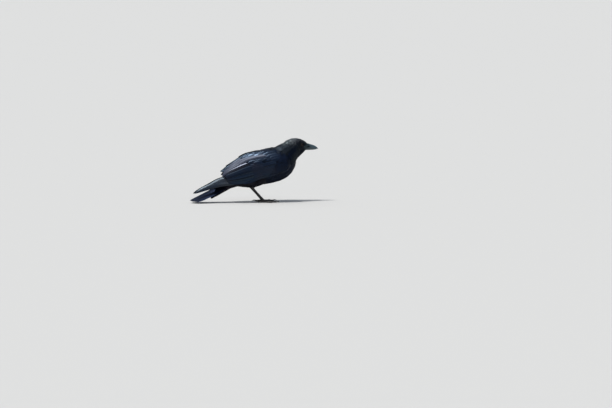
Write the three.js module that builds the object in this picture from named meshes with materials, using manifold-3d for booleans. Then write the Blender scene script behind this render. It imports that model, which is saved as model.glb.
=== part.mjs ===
// A carrion crow at life size, standing low with its body sloped and its bill level.
// Millimetres, +Z up. The bird faces -Y, so its left side is +X and its right side is -X.
// Every solid reaches the tips of the plumage that covers it.
import * as THREE from "three";
import { mergeVertices } from "three/addons/utils/BufferGeometryUtils.js";
import Module from "manifold-3d";

const wasm = await Module();
wasm.setup();

// Driving dimensions
const GAP = 0.4; // clearance left between neighbouring pieces
const BIG = 600; // larger than the whole bird
const FOOT_SIDE = 25; // each foot's distance from the middle
const HEEL = { ahead: -39, side: 21, up: 53 };
const BALL = { ahead: 1, side: FOOT_SIDE, up: 5.2 };
const TAIL_ROOT = { ahead: -84, up: 90 };
const TAIL_TIP = { ahead: -246, up: 7.5 };
const TAIL_STEPS = 6; // feather tips that show along the folded tail's end
const TAIL_ROLL = 30; // degrees that the tail's root turns its right edge down
const END_ROLL = 7; // degrees that its end does
const LEFT_DROP = 3; // the left wing's point ends this much lower than the right one's
const BILL_TIP = { ahead: 187.5, up: 176 };
const EYE = { ahead: 129.5, side: 12.1, up: 190.5, radius: 6.6 };

// The body's ovals: centre ahead and up, reach above and below the centre, and half width.
const TRUNK = [
  { ahead: -176, up: 15, top: 3, belly: 1.5, half: 6 },
  { ahead: -146, up: 34, top: 14, belly: 5, half: 12 },
  { ahead: -117, up: 54, top: 13, belly: 8.5, half: 19 },
  { ahead: -90, up: 72, top: 20, belly: 20, half: 27 },
  { ahead: -65, up: 86, top: 34, belly: 45, half: 36 },
  { ahead: -40, up: 102, top: 47, belly: 51, half: 42 },
  { ahead: -10, up: 115, top: 58, belly: 57.5, half: 45 },
  { ahead: 25, up: 123.5, top: 57, belly: 59.5, half: 46 },
  { ahead: 59, up: 131, top: 54, belly: 56, half: 44 },
  { ahead: 84, up: 138, top: 42, belly: 43, half: 35 },
  { ahead: 101, up: 144, top: 24, belly: 24, half: 21 },
  { ahead: 107, up: 147, top: 8, belly: 8, half: 8 },
];
const NECK = [
  { ahead: 36, up: 132, top: 40, belly: 30, half: 26 },
  { ahead: 67, up: 151, top: 42.5, belly: 46, half: 36 },
  { ahead: 88, up: 168, top: 36, belly: 39, half: 29 },
  { ahead: 106, up: 180, top: 28, belly: 32, half: 23 },
  { ahead: 118, up: 187, top: 20, belly: 25, half: 19 },
  { ahead: 128, up: 189, top: 12, belly: 14, half: 12 },
];
// The loose feathers that fill out the throat under the bill.
const THROAT = [
  { ahead: 86, up: 146, top: 12, belly: 12, half: 16 },
  { ahead: 104, up: 155, top: 17, belly: 15, half: 19 },
  { ahead: 120, up: 165.5, top: 15, belly: 12.5, half: 14.5 },
  { ahead: 133.5, up: 173.5, top: 9, belly: 8.5, half: 10 },
  { ahead: 142, up: 177, top: 4, belly: 5, half: 6 },
];
const HEAD = [
  { ahead: 64, up: 168, top: 12, belly: 10, half: 12 },
  { ahead: 82, up: 179, top: 23.5, belly: 22, half: 19 },
  { ahead: 101, up: 187.5, top: 25.2, belly: 24, half: 20.5 },
  { ahead: 118, up: 190.2, top: 22.2, belly: 23, half: 19.4 },
  { ahead: 132, up: 188.7, top: 17.4, belly: 18.5, half: 15.8 },
  { ahead: 144, up: 186, top: 11.2, belly: 13, half: 11 },
  { ahead: 153, up: 184.6, top: 7.6, belly: 8.6, half: 8.2 },
  { ahead: 160, up: 183.6, top: 5.6, belly: 5.6, half: 6 },
];
const THIGH = [
  { ahead: -2, side: 21, up: 92, top: 12, belly: 12, half: 9 },
  { ahead: -8, side: 24, up: 79, top: 18.5, belly: 18, half: 15 },
  { ahead: -22, side: 24, up: 67, top: 13.5, belly: 12, half: 12 },
  { ahead: -33, side: 22, up: 58, top: 7.5, belly: 7, half: 7.5 },
  { ahead: -38, side: 21, up: 52.5, top: 4.6, belly: 4.6, half: 4.8 },
];
// The shin from the heel's knob to the ball of the foot.
const SHANK = [
  { ahead: -40.5, up: 50.5, top: 2.6, belly: 3.4, half: 2.6 },
  { ahead: -38, up: 48.5, top: 4, belly: 4, half: 3.3 },
  { ahead: -33, up: 42.5, top: 3.2, belly: 3.2, half: 2.4 },
  { ahead: -20, up: 28, top: 2.9, belly: 2.9, half: 2.1 },
  { ahead: -6, up: 12.5, top: 3.2, belly: 3.2, half: 2.5 },
  { ahead: -1.5, up: 7.6, top: 3.6, belly: 3.6, half: 3.2 },
];
// Toes by the way they point: 0 is straight ahead, positive turns away from the other foot.
const TOES = [
  { name: "hind", turn: 176, length: 20, claw: 15, thick: 3.2 },
  { name: "inner", turn: -27, length: 27, claw: 12, thick: 2.9 },
  { name: "middle", turn: 4, length: 38, claw: 13, thick: 3.1 },
  { name: "outer", turn: 33, length: 28, claw: 11, thick: 2.8 },
];
// The folded wing's lower and upper edges, then how far it bulges between them and how thick it is.
const WING = [
  { lower: [86, 35, 121], upper: [84, 32, 149], bulge: 2, thick: 3.5 },
  { lower: [75, 39.5, 108], upper: [71, 33.5, 165], bulge: 6, thick: 7 },
  { lower: [50, 42, 99], upper: [46, 30, 174], bulge: 8, thick: 8 },
  { lower: [15, 43, 90], upper: [10, 27, 171], bulge: 8.5, thick: 8 },
  { lower: [-20, 42, 80], upper: [-26, 18, 167], bulge: 8.5, thick: 8 },
  { lower: [-55, 39, 70], upper: [-62, 9, 157], bulge: 8.5, thick: 8 },
  { lower: [-90, 35, 65], upper: [-97, 5.5, 136], bulge: 8, thick: 7 },
  { lower: [-115, 31, 66], upper: [-124, 4.6, 117], bulge: 6, thick: 5 },
  { lower: [-129, 28, 68], upper: [-149, 5, 97], bulge: 3, thick: 2.4 },
];
const PRIMARIES = [
  { lower: [-78, 33, 66], upper: [-80, 27, 104], bulge: 1, thick: 6 },
  { lower: [-110, 33, 61], upper: [-112, 20, 97], bulge: 3, thick: 5.5 },
  { lower: [-142, 30, 57], upper: [-149, 15.5, 85], bulge: 3, thick: 5 },
  { lower: [-174, 26.5, 48.5], upper: [-182, 12.5, 67.5], bulge: 2.5, thick: 4 },
  { lower: [-205, 22.5, 39.5], upper: [-213, 11.5, 54], bulge: 1.5, thick: 3 },
  { lower: [-230, 19, 28.5], upper: [-241, 13.5, 42], bulge: 0.5, thick: 1.4 },
];

const plumage = new THREE.MeshStandardMaterial({ color: 0x15161d, roughness: 0.45, metalness: 0 });
const flightPlumage = new THREE.MeshStandardMaterial({ color: 0x1b1e2c, roughness: 0.38, metalness: 0 });
const horn = new THREE.MeshStandardMaterial({ color: 0x1d2126, roughness: 0.32, metalness: 0 });
const scale = new THREE.MeshStandardMaterial({ color: 0x17171a, roughness: 0.55, metalness: 0 });
const eyeball = new THREE.MeshStandardMaterial({ color: 0x120c08, roughness: 0.08, metalness: 0 });

// A point by its distance ahead, to the left and above the ground.
function at(ahead, side, up) {
  return new THREE.Vector3(side, -ahead, up);
}

function solidOf(points, triangles) {
  const made = new wasm.Manifold(
    new wasm.Mesh({
      numProp: 3,
      vertProperties: new Float32Array(points.flatMap((p) => [p.x, p.y, p.z])),
      triVerts: new Uint32Array(triangles),
    }),
  );
  if (made.volume() > 0) return made;
  const turned = [];
  for (let i = 0; i < triangles.length; i += 3) turned.push(triangles[i], triangles[i + 2], triangles[i + 1]);
  return solidOf(points, turned);
}

// Closes rings of points into one solid. A blade's end is closed by a strip between its two faces,
// any other end by a fan.
function closeRings(rings, isBlade) {
  const count = rings[0].length;
  const points = rings.flat();
  const triangles = [];
  const quad = (a, b, c, d) => triangles.push(a, b, c, a, c, d);
  for (let r = 0; r + 1 < rings.length; r++)
    for (let k = 0; k < count; k++) {
      const next = (k + 1) % count;
      quad(r * count + k, r * count + next, (r + 1) * count + next, (r + 1) * count + k);
    }
  for (const [ring, turned] of [[0, true], [rings.length - 1, false]]) {
    const first = ring * count;
    if (isBlade) {
      for (let k = 0; k + 1 < count / 2; k++) {
        const corners = [k, k + 1, count - 2 - k, count - 1 - k].map((c) => c + first);
        quad(...(turned ? corners.reverse() : corners));
      }
    } else {
      const middle = points.length;
      points.push(rings[ring].reduce((sum, p) => sum.add(p), new THREE.Vector3()).divideScalar(count));
      for (let k = 0; k < count; k++) {
        const pair = [first + k, first + ((k + 1) % count)];
        triangles.push(middle, ...(turned ? pair.reverse() : pair));
      }
    }
  }
  return solidOf(points, triangles);
}

// A body through oval stations, each square to the line of their centres.
function ovalBody(stations, { side = 1, rings = 16, segments = 20, grow = 0 } = {}) {
  const centres = stations.map((s) => at(s.ahead, side * (s.side ?? 0), s.up));
  const sizes = stations.map((s) => new THREE.Vector3(s.top, s.belly, s.half));
  const line = new THREE.CatmullRomCurve3(centres, false, "catmullrom", 0.5);
  const reach = new THREE.CatmullRomCurve3(sizes, false, "catmullrom", 0.5);
  const made = [];
  for (let r = 0; r <= rings; r++) {
    const t = r / rings;
    const centre = line.getPoint(t);
    const along = line.getTangent(t);
    const across = new THREE.Vector3(1, 0, 0).addScaledVector(along, -along.x).normalize();
    const over = new THREE.Vector3().crossVectors(across, along);
    if (over.z < 0) over.negate();
    const size = reach.getPoint(t);
    const ring = [];
    for (let k = 0; k < segments; k++) {
      const angle = (2 * Math.PI * k) / segments;
      const high = Math.sin(angle) * ((Math.sin(angle) > 0 ? size.x : size.y) + grow);
      const wide = Math.cos(angle) * (size.z + grow);
      ring.push(centre.clone().addScaledVector(across, wide).addScaledVector(over, high));
    }
    made.push(ring);
  }
  return closeRings(made, false);
}

// A round tapering body along a line of points, with a radius at each point.
function taper(points, radii, { rings = 8, segments = 8 } = {}) {
  const line = new THREE.CatmullRomCurve3(points);
  const thickness = new THREE.CatmullRomCurve3(radii.map((r) => new THREE.Vector3(r, 0, 0)));
  const made = [];
  for (let r = 0; r <= rings; r++) {
    const t = r / rings;
    const along = line.getTangent(t);
    const across = new THREE.Vector3(0, 0, 1).cross(along).normalize();
    const over = new THREE.Vector3().crossVectors(along, across);
    const radius = thickness.getPoint(t).x;
    const ring = [];
    for (let k = 0; k < segments; k++) {
      const angle = (2 * Math.PI * (k + 0.5)) / segments;
      const point = line.getPoint(t).addScaledVector(across, Math.cos(angle) * radius);
      ring.push(point.addScaledVector(over, Math.sin(angle) * radius));
    }
    made.push(ring);
  }
  return closeRings(made, false);
}

// A thin curved blade. surface(t, v) is its middle, with t from root to tip and v across, both 0 to 1.
function blade(surface, thickness, { rings = 12, across = 10, grow = 0 } = {}) {
  const step = 1e-3;
  const made = [];
  for (let r = 0; r <= rings; r++) {
    const t = r / rings;
    const outer = [];
    const inner = [];
    for (let k = 0; k <= across; k++) {
      const v = k / across;
      const point = surface(t, v);
      const along = surface(Math.min(1, t + step), v).sub(surface(Math.max(0, t - step), v)).normalize();
      const over = surface(t, Math.min(1, v + step)).sub(surface(t, Math.max(0, v - step))).normalize();
      const normal = new THREE.Vector3().crossVectors(along, over).normalize();
      point.addScaledVector(along, r === 0 ? -grow : r === rings ? grow : 0);
      point.addScaledVector(over, k === 0 ? -grow : k === across ? grow : 0);
      const half = thickness(t, v) / 2 + grow;
      outer.push(point.clone().addScaledVector(normal, half));
      inner.push(point.clone().addScaledVector(normal, -half));
    }
    made.push([...outer, ...inner.reverse()]);
  }
  return closeRings(made, true);
}

// Everything in front of, or behind, an upright plane that leans by the given degrees.
function halfSpace(ahead, up, lean, isFront) {
  const block = new THREE.BoxGeometry(BIG, BIG, BIG);
  const pushed = isFront ? -BIG / 2 - GAP / 2 : BIG / 2 + GAP / 2;
  block.translate(0, pushed, 0).rotateX(THREE.MathUtils.degToRad(lean)).translate(0, -ahead, up);
  return fromGeometry(block);
}

function fromGeometry(geometry) {
  geometry.deleteAttribute("normal");
  geometry.deleteAttribute("uv");
  const merged = mergeVertices(geometry);
  const places = merged.getAttribute("position");
  const points = [];
  for (let i = 0; i < places.count; i++) points.push(new THREE.Vector3().fromBufferAttribute(places, i));
  return solidOf(points, [...merged.index.array]);
}

// The steps that overlapping feather tips leave along an end: 1 on a tip, less between two tips.
function featherSteps(v, feathers, depth) {
  const place = (v * feathers) % 1;
  return 1 - depth * (1 - Math.sin(Math.PI * Math.min(1, place + 0.15)));
}

// A folded wing's part between two edges, bulging outwards between them.
function wingSurface(stations, side, reach) {
  const edge = (which) =>
    new THREE.CatmullRomCurve3(stations.map((s) => at(s[which][0], side * s[which][1], s[which][2])));
  const lower = edge("lower");
  const upper = edge("upper");
  const fullness = new THREE.CatmullRomCurve3(stations.map((s) => new THREE.Vector3(s.bulge, s.thick, 0)));
  const surface = (t, v) => {
    const place = t * reach(v);
    const low = lower.getPoint(place);
    const high = upper.getPoint(place);
    const rise = high.clone().sub(low);
    const out = new THREE.Vector3(side * rise.z, 0, -side * rise.x).normalize();
    const swell = fullness.getPoint(place).x * Math.sin(Math.PI * v);
    return low.addScaledVector(rise, v).addScaledVector(out, swell);
  };
  const thickness = (t, v) => {
    const full = fullness.getPoint(t * reach(v)).y;
    return Math.max(1, full * (0.35 + 0.65 * Math.sin(Math.PI * Math.min(1, Math.max(0, v)))));
  };
  return { surface, thickness };
}

function upperWing(side, grow = 0) {
  const reach = (v) => featherSteps(v, 4, 0.025);
  const { surface, thickness } = wingSurface(WING, side, reach);
  return blade(surface, thickness, { rings: 9, across: 12, grow });
}

// The edges of a wing's point.
function pointStations(side) {
  const drop = side > 0 ? LEFT_DROP / (PRIMARIES.length - 1) : 0;
  const lowered = ([ahead, out, up], k) => [ahead, out, up - drop * k];
  return PRIMARIES.map((s, k) => ({ ...s, lower: lowered(s.lower, k), upper: lowered(s.upper, k) }));
}

// The longest flight feathers: their tips step back from the point towards the upper edge.
function primaries(side, grow = 0) {
  const reach = (v) => (1 - 0.3 * v ** 3 - 0.05 * (1 - v) ** 3) * featherSteps(v, 4, 0.02);
  const { surface, thickness } = wingSurface(pointStations(side), side, reach);
  return blade(surface, thickness, { rings: 6, across: 8, grow });
}

// The folded tail: a shallow tent that widens to a rounded end of stepped tips.
function tailFan(grow = 0) {
  const root = at(TAIL_ROOT.ahead, 0, TAIL_ROOT.up);
  const run = at(TAIL_TIP.ahead, 0, TAIL_TIP.up).sub(root);
  const axis = run.clone().normalize();
  const surface = (t, v) => {
    const off = 2 * v - 1;
    const place = t * (1 - 0.115 * off * off) * featherSteps(v, TAIL_STEPS, 0.02);
    const half = 18 + 15 * place ** 0.8;
    const sag = (12 - 6 * place) * Math.abs(off) ** 1.5 + 2.5 * Math.sin(Math.PI * place);
    const spread = new THREE.Vector3(off * half, 0, -sag);
    spread.applyAxisAngle(axis, THREE.MathUtils.degToRad((TAIL_ROLL - END_ROLL) * place - TAIL_ROLL));
    return root.clone().addScaledVector(run, place).add(spread);
  };
  const thickness = (t, v) => (6.5 - 4.6 * t) * (0.4 + 0.6 * Math.sin(Math.PI * v)) + 0.3;
  return blade(surface, thickness, { rings: 5, across: 16, grow });
}

// The bill from its face end to its tip: the culmen above, the cutting edge, and the chin line below.
function billHalf(isUpper, grow = 0) {
  const face = 139;
  const length = (isUpper ? BILL_TIP.ahead : BILL_TIP.ahead - 4) - face;
  const cuttingEdge = (t) => 179.5 - 1.2 * t - 2.4 * t ** 4;
  const halfWidth = (t) => 8.4 * (1 - t) ** 0.62 * (1 - 0.12 * t) + 0.35;
  const culmen = (t) => 176.6 + 19 * Math.sqrt(Math.max(0, 1 - t ** 1.9)) - 2.2 * t;
  const chin = (t) => 172.6 + 0.6 * t + 3.6 * t ** 5;
  const rings = 9;
  const segments = 8;
  const made = [];
  for (let r = 0; r <= rings; r++) {
    const t = r / rings;
    const ahead = face + length * t;
    const flat = cuttingEdge(t) + (isUpper ? GAP / 2 : -GAP / 2);
    const tall = isUpper ? Math.max(0.9, culmen(t) - flat) : Math.min(-0.8, chin(t) - flat);
    const wide = halfWidth(t) * (isUpper ? 1 : 0.86);
    const ring = [];
    for (let k = 0; k <= segments; k++) {
      const angle = (Math.PI * k) / segments;
      const rise = Math.sin(angle) ** 0.85 * (tall + Math.sign(tall) * grow);
      ring.push(at(ahead, Math.cos(angle) * (wide + grow), flat + rise));
    }
    ring.push(at(ahead, 0, flat - Math.sign(tall) * grow));
    made.push(ring);
  }
  return closeRings(made, false);
}

function eye(side, grow = 0) {
  const ball = new THREE.SphereGeometry(EYE.radius + grow, 10, 6);
  const place = at(EYE.ahead, side * EYE.side, EYE.up);
  return fromGeometry(ball.translate(place.x, place.y, place.z));
}

// A point along a toe, at a distance from the ball of the foot.
function pointOn(toe, side, distance, up) {
  const turn = THREE.MathUtils.degToRad(toe.turn);
  return at(BALL.ahead + Math.cos(turn) * distance, side * (BALL.side + Math.sin(turn) * distance), up);
}

// The four toes joined at the ball, with their pads cut flat where they meet the ground.
function foot(side, grow = 0) {
  const toes = TOES.map((toe) => {
    const low = toe.thick * 0.86;
    const height = (share) => low + 1.2 * (1 - share) ** 3;
    const line = [0, 0.3, 0.55, 0.8, 1].map((share) => pointOn(toe, side, toe.length * share, height(share)));
    const radii = [1.1, 0.94, 1.04, 0.86, 0.82].map((share) => toe.thick * share + grow);
    return taper(line, radii, { rings: 5, segments: 6 });
  });
  const ball = new THREE.SphereGeometry(4.3 + grow, 8, 6);
  ball.scale(1, 1, 0.9).translate(side * BALL.side, -BALL.ahead, 3.5);
  const ground = new THREE.BoxGeometry(BIG, BIG, 40);
  ground.translate(0, 0, -20);
  return toes.reduce((joined, toe) => joined.add(toe), fromGeometry(ball)).subtract(fromGeometry(ground));
}

function claw(toe, side) {
  const base = toe.thick * 0.86;
  const line = [
    pointOn(toe, side, toe.length + 1, base),
    pointOn(toe, side, toe.length + toe.claw * 0.4, base + 1.7),
    pointOn(toe, side, toe.length + toe.claw * 0.78, base + 0.5),
    pointOn(toe, side, toe.length + toe.claw, 0.8),
  ];
  return taper(line, [1.9, 1.7, 1.05, 0.35], { rings: 4, segments: 6 });
}

function thigh(side, grow = 0) {
  return ovalBody(THIGH, { side, rings: 7, segments: 10, grow });
}

function shank(side) {
  const stations = SHANK.map((s) => {
    const down = (HEEL.up - s.up) / (HEEL.up - BALL.up);
    return { ...s, side: HEEL.side + (FOOT_SIDE - HEEL.side) * down };
  });
  return ovalBody(stations, { side, rings: 7, segments: 8 });
}

const crow = new THREE.Group();

function show(name, solid, material) {
  const data = solid.getMesh();
  const geometry = new THREE.BufferGeometry();
  geometry.setAttribute("position", new THREE.BufferAttribute(new Float32Array(data.vertProperties), 3));
  geometry.setIndex(new THREE.BufferAttribute(new Uint32Array(data.triVerts), 1));
  geometry.computeVertexNormals();
  const mesh = new THREE.Mesh(geometry, material);
  mesh.name = name;
  crow.add(mesh);
}

const SIDES = [["left", 1], ["right", -1]];

// Head, neck and trunk are one body, parted by two leaning cuts.
const HEAD_CUT = [97, 183, -38];
const NECK_CUT = [62, 150, -38];
let body = ovalBody(TRUNK, { rings: 16, segments: 16 })
  .add(ovalBody(NECK, { rings: 7, segments: 15 }))
  .add(ovalBody(THROAT, { rings: 5, segments: 12 }))
  .add(ovalBody(HEAD, { rings: 10, segments: 16 }))
  .subtract(tailFan(GAP))
  .subtract(billHalf(true, GAP))
  .subtract(billHalf(false, GAP));
for (const [, side] of SIDES)
  body = body
    .subtract(upperWing(side, GAP))
    .subtract(primaries(side, GAP))
    .subtract(thigh(side, GAP))
    .subtract(eye(side, GAP));

// The largest of the bodies that a cut leaves; slivers beside it are dropped.
function largest(solid) {
  return solid.decompose().reduce((best, piece) => (piece.volume() > best.volume() ? piece : best));
}

show("head", largest(body.intersect(halfSpace(...HEAD_CUT, true))), plumage);
const neckZone = halfSpace(...HEAD_CUT, false).intersect(halfSpace(...NECK_CUT, true));
show("neck", largest(body.intersect(neckZone)), plumage);
show("trunk", largest(body.intersect(halfSpace(...NECK_CUT, false))), plumage);
show("tail", tailFan(), flightPlumage);
show("bill_upper", billHalf(true), horn);
show("bill_lower", billHalf(false), horn);

const WING_CUT = [-12, 130, 28];
for (const [name, side] of SIDES) {
  const wing = upperWing(side);
  show(`wing_${name}_coverts`, largest(wing.intersect(halfSpace(...WING_CUT, true))), plumage);
  show(`wing_${name}_secondaries`, largest(wing.intersect(halfSpace(...WING_CUT, false))), flightPlumage);
  const behind = primaries(side).subtract(upperWing(side, GAP)).subtract(tailFan(GAP));
  show(`wing_${name}_primaries`, largest(behind), flightPlumage);
  show(`eye_${name}`, eye(side), eyeball);
  show(`thigh_${name}`, largest(thigh(side).subtract(upperWing(side, GAP))), plumage);
  show(`shank_${name}`, largest(shank(side).subtract(thigh(side, GAP)).subtract(foot(side, GAP))), scale);
  show(`foot_${name}`, foot(side), scale);
  for (const toe of TOES) show(`claw_${name}_${toe.name}`, claw(toe, side), horn);
}

// The part's origin is on the ground, under the middle of the bird's outline.
const outline = new THREE.Box3().setFromObject(crow);
const middle = outline.getCenter(new THREE.Vector3());
crow.position.set(-middle.x, -middle.y, -outline.min.z);

export default crow;
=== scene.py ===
"""A carrion crow at life size: one skin, a coat of modelled feathers, flight feathers, bill, eyes and feet.

Metres, +Z up. The bird faces -Y, so its left side is +X and its right side is -X.
"""

from contextlib import contextmanager
import math

import bmesh
import bpy
import numpy as np
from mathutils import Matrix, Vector
from mathutils.bvhtree import BVHTree


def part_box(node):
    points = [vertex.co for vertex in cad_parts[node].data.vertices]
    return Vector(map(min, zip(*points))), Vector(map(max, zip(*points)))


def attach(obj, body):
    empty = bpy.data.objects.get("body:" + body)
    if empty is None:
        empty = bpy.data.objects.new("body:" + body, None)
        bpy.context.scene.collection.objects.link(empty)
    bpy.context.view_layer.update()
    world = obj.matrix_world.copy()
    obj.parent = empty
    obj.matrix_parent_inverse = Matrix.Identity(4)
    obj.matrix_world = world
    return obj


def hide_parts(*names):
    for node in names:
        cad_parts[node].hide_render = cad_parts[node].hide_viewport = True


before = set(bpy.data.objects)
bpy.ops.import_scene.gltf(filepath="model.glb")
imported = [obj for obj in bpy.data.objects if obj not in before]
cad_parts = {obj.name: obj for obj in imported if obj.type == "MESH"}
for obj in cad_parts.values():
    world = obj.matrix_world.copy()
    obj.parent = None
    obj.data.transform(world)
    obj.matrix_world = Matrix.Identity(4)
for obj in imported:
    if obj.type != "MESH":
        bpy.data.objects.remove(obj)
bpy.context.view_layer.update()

MM = 0.001
BILL_REACH = 187.5 * MM  # from the feet to the bill's tip, along the body
FEET_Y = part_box("bill_upper")[0][1] + BILL_REACH
SIDES = {"left": 1, "right": -1}
SIDE_NAMES = {1: "left", -1: "right"}
SEED = 20


def at(ahead, side, up):
    """Points by how far they are ahead of the feet, to the left and above the floor, in millimetres."""
    ahead, side, up = np.broadcast_arrays(ahead, side, up)
    return np.stack([side * MM, FEET_Y - ahead * MM, up * MM], axis=-1)


def unit(v):
    """Vectors of length 1."""
    return v / np.maximum(np.linalg.norm(v, axis=-1, keepdims=True), 1e-12)


def spline(points, t):
    """A smooth curve through points, at t from 0 to 1."""
    points = np.asarray(points, float)
    spans = len(points) - 1
    x = np.clip(np.asarray(t, float), 0, 1) * spans
    i = np.minimum(x.astype(int), spans - 1)
    f = (x - i)[..., None]
    ends = np.vstack([2 * points[0] - points[1], points, 2 * points[-1] - points[-2]])
    a, b, c, d = (ends[i + k] for k in range(4))
    return 0.5 * (2 * b + (c - a) * f + (2 * a - 5 * b + 4 * c - d) * f**2 + (3 * b - a - 3 * c + d) * f**3)


def ramp(value, low, high):
    """0 at low, 1 at high, smooth between."""
    x = np.clip((value - low) / (high - low), 0, 1)
    return x * x * (3 - 2 * x)


def shown(name, data):
    """A new object in the scene, at the origin."""
    made = bpy.data.objects.new(name, data)
    bpy.context.scene.collection.objects.link(made)
    return made


def solid(name, points, faces, material=None, smooth=True):
    """A mesh object with its place in its mesh."""
    mesh = bpy.data.meshes.new(name)
    mesh.from_pydata([tuple(p) for p in points], [], [tuple(f) for f in faces])
    mesh.shade_smooth() if smooth else mesh.shade_flat()
    if material:
        mesh.materials.append(material)
    return shown(name, mesh)


def evaluated(piece, name):
    """What a piece's modifiers make of it, as a plain mesh object; the first one is removed."""
    depsgraph = bpy.context.evaluated_depsgraph_get()
    mesh = bpy.data.meshes.new_from_object(piece.evaluated_get(depsgraph), depsgraph=depsgraph)
    bpy.data.objects.remove(piece)
    mesh.name = name
    return shown(name, mesh)


def store(mesh, name, values):
    """Keeps a number or a vector for each of a mesh's points."""
    values = np.asarray(values)
    kind, field = ("INT" if values.dtype.kind == "i" else "FLOAT"), "value"
    if values.ndim == 2:
        kind, field = "FLOAT_VECTOR", "vector"
    mesh.attributes.new(name, kind, "POINT").data.foreach_set(field, values.ravel())


@contextmanager
def opened(mesh):
    """A mesh open for editing, written back afterwards."""
    work = bmesh.new()
    work.from_mesh(mesh)
    yield work
    work.to_mesh(mesh)
    work.free()


def face_outwards(mesh):
    """Turns every face of closed shapes outwards."""
    with opened(mesh) as work:
        bmesh.ops.recalc_face_normals(work, faces=work.faces)


def sharp_edges(mesh, degrees):
    """Marks edges that turn by more than an angle as sharp."""
    with opened(mesh) as work:
        for edge in work.edges:
            edge.smooth = len(edge.link_faces) == 2 and edge.calc_face_angle(0) < math.radians(degrees)


def tube(rings, around):
    """The four-cornered faces between rings of points that follow each other."""
    faces = []
    for a in range(0, (rings - 1) * around, around):
        for k in range(around):
            n = (k + 1) % around
            faces.append((a + k, a + n, a + around + n, a + around + k))
    return faces


def joined(parts):
    """Several shapes as one: their points, their faces and, where there are any, their places on a map."""
    places, faces, uvs = [], [], []
    for part_places, part_faces, *part_uvs in parts:
        faces += [tuple(i + len(places) for i in face) for face in part_faces]
        places += part_places
        for own in part_uvs:
            uvs += own
    return places, faces, uvs


def edge_ends(mesh):
    """Each edge's two points, as a pair of lists."""
    pairs = np.empty(len(mesh.edges) * 2, int)
    mesh.edges.foreach_get("vertices", pairs)
    return pairs.reshape(-1, 2).T


def coordinates(mesh):
    """A mesh's points, one row each."""
    flat = np.empty(len(mesh.vertices) * 3)
    mesh.vertices.foreach_get("co", flat)
    return flat.reshape(-1, 3)


def set_coordinates(mesh, places):
    """Moves a mesh's points."""
    mesh.vertices.foreach_set("co", np.asarray(places, float).ravel())
    mesh.update()


def vertex_normals(mesh):
    """The way out at each of a mesh's points."""
    flat = np.empty(len(mesh.vertices) * 3)
    mesh.vertex_normals.foreach_get("vector", flat)
    return flat.reshape(-1, 3)


def tree_of(piece):
    """A tree for finding the nearest place on a piece, or where a ray meets it."""
    mesh = piece.data
    return BVHTree.FromPolygons(coordinates(mesh).tolist(), [p.vertices[:] for p in mesh.polygons])


def place_piece(piece, slot, *nodes):
    """Fixes a piece to the body and hides the CAD nodes that it stands for; slot is not used."""
    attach(piece, "root")
    if nodes:
        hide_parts(*nodes)
    return piece


# ---------------------------------------------------------------- form of the flesh

FLESH = ["head", "neck", "trunk"] + [
    part.format(side)
    for side in SIDES
    for part in ("thigh_{}", "wing_{}_coverts", "wing_{}_secondaries")
]
SWELL = 0.5 * MM  # closes the gaps between nodes before they are fused
VOXEL = 1.6 * MM


def fused(name, nodes):
    """One closed surface round several CAD nodes."""
    made = bmesh.new()
    for node in nodes:
        own = bmesh.new()
        own.from_mesh(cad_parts[node].data)
        bmesh.ops.remove_doubles(own, verts=own.verts, dist=0.01 * MM)
        own.normal_update()
        for vertex in own.verts:
            vertex.co += vertex.normal * SWELL
        part = bpy.data.meshes.new("part")
        own.to_mesh(part)
        made.from_mesh(part)
        own.free()
        bpy.data.meshes.remove(part)
    mesh = bpy.data.meshes.new(name)
    made.to_mesh(mesh)
    made.free()
    piece = shown(name, mesh)
    remesh = piece.modifiers.new("fuse", "REMESH")
    remesh.mode = "VOXEL"
    remesh.voxel_size = VOXEL
    return evaluated(piece, name)


def relax(mesh, rounds, share):
    """Smooths a mesh without shrinking it: each round pulls points together, then pushes them back.

    share gives how much of this each place gets.
    """
    one, other = edge_ends(mesh)
    start, end = np.concatenate([one, other]), np.concatenate([other, one])
    places = coordinates(mesh)
    count = np.bincount(start, minlength=len(places)).clip(1)
    share = share(places)[:, None]
    for _ in range(rounds):
        for strength in (0.6, -0.61):
            mean = np.stack([np.bincount(start, places[end, k], len(places)) for k in range(3)], 1)
            places = places + strength * share * (mean / count[:, None] - places)
    set_coordinates(mesh, places)


def ahead_of(places):
    """How far ahead of the feet places are, in millimetres."""
    return (FEET_Y - places[..., 1]) / MM


form = fused("form", FLESH)
relax(form.data, 90, lambda places: 1 - 0.75 * ramp(ahead_of(places), 95, 125))

# ---------------------------------------------------------------- finishes


def shader(name, **sockets):
    """A material with one Principled surface; sockets are given by name with _ for a space."""
    material = bpy.data.materials.new(name)
    material.use_nodes = True
    surface = material.node_tree.nodes["Principled BSDF"]
    for socket, value in sockets.items():
        surface.inputs[socket.replace("_", " ")].default_value = value
    return material, material.node_tree, surface


def add(tree, kind, inputs=None, **settings):
    """Adds a node, with its settings and its inputs' values or links."""
    node = tree.nodes.new(kind)
    for setting, value in settings.items():
        setattr(node, setting, value)
    for socket, value in (inputs or {}).items():
        if isinstance(value, bpy.types.NodeSocket):
            tree.links.new(value, node.inputs[socket])
        else:
            node.inputs[socket].default_value = value
    return node


def maths(tree, operation, *values):
    """A sum on numbers."""
    return add(tree, "ShaderNodeMath", dict(enumerate(values)), operation=operation).outputs[0]


def vectors(tree, operation, *values, **named):
    """A sum on vectors."""
    inputs = {**dict(enumerate(values)), **named}
    return add(tree, "ShaderNodeVectorMath", inputs, operation=operation).outputs[0]


def spread(tree, value, low, high, to_low=0.0, to_high=1.0):
    """A value moved from one range to another and held within it."""
    ends = {"From Min": low, "From Max": high, "To Min": to_low, "To Max": to_high}
    return add(tree, "ShaderNodeMapRange", {"Value": value, **ends}).outputs[0]


def own_place(tree):
    """The place of each point of a piece."""
    return add(tree, "ShaderNodeTexCoord").outputs["Object"]


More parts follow.
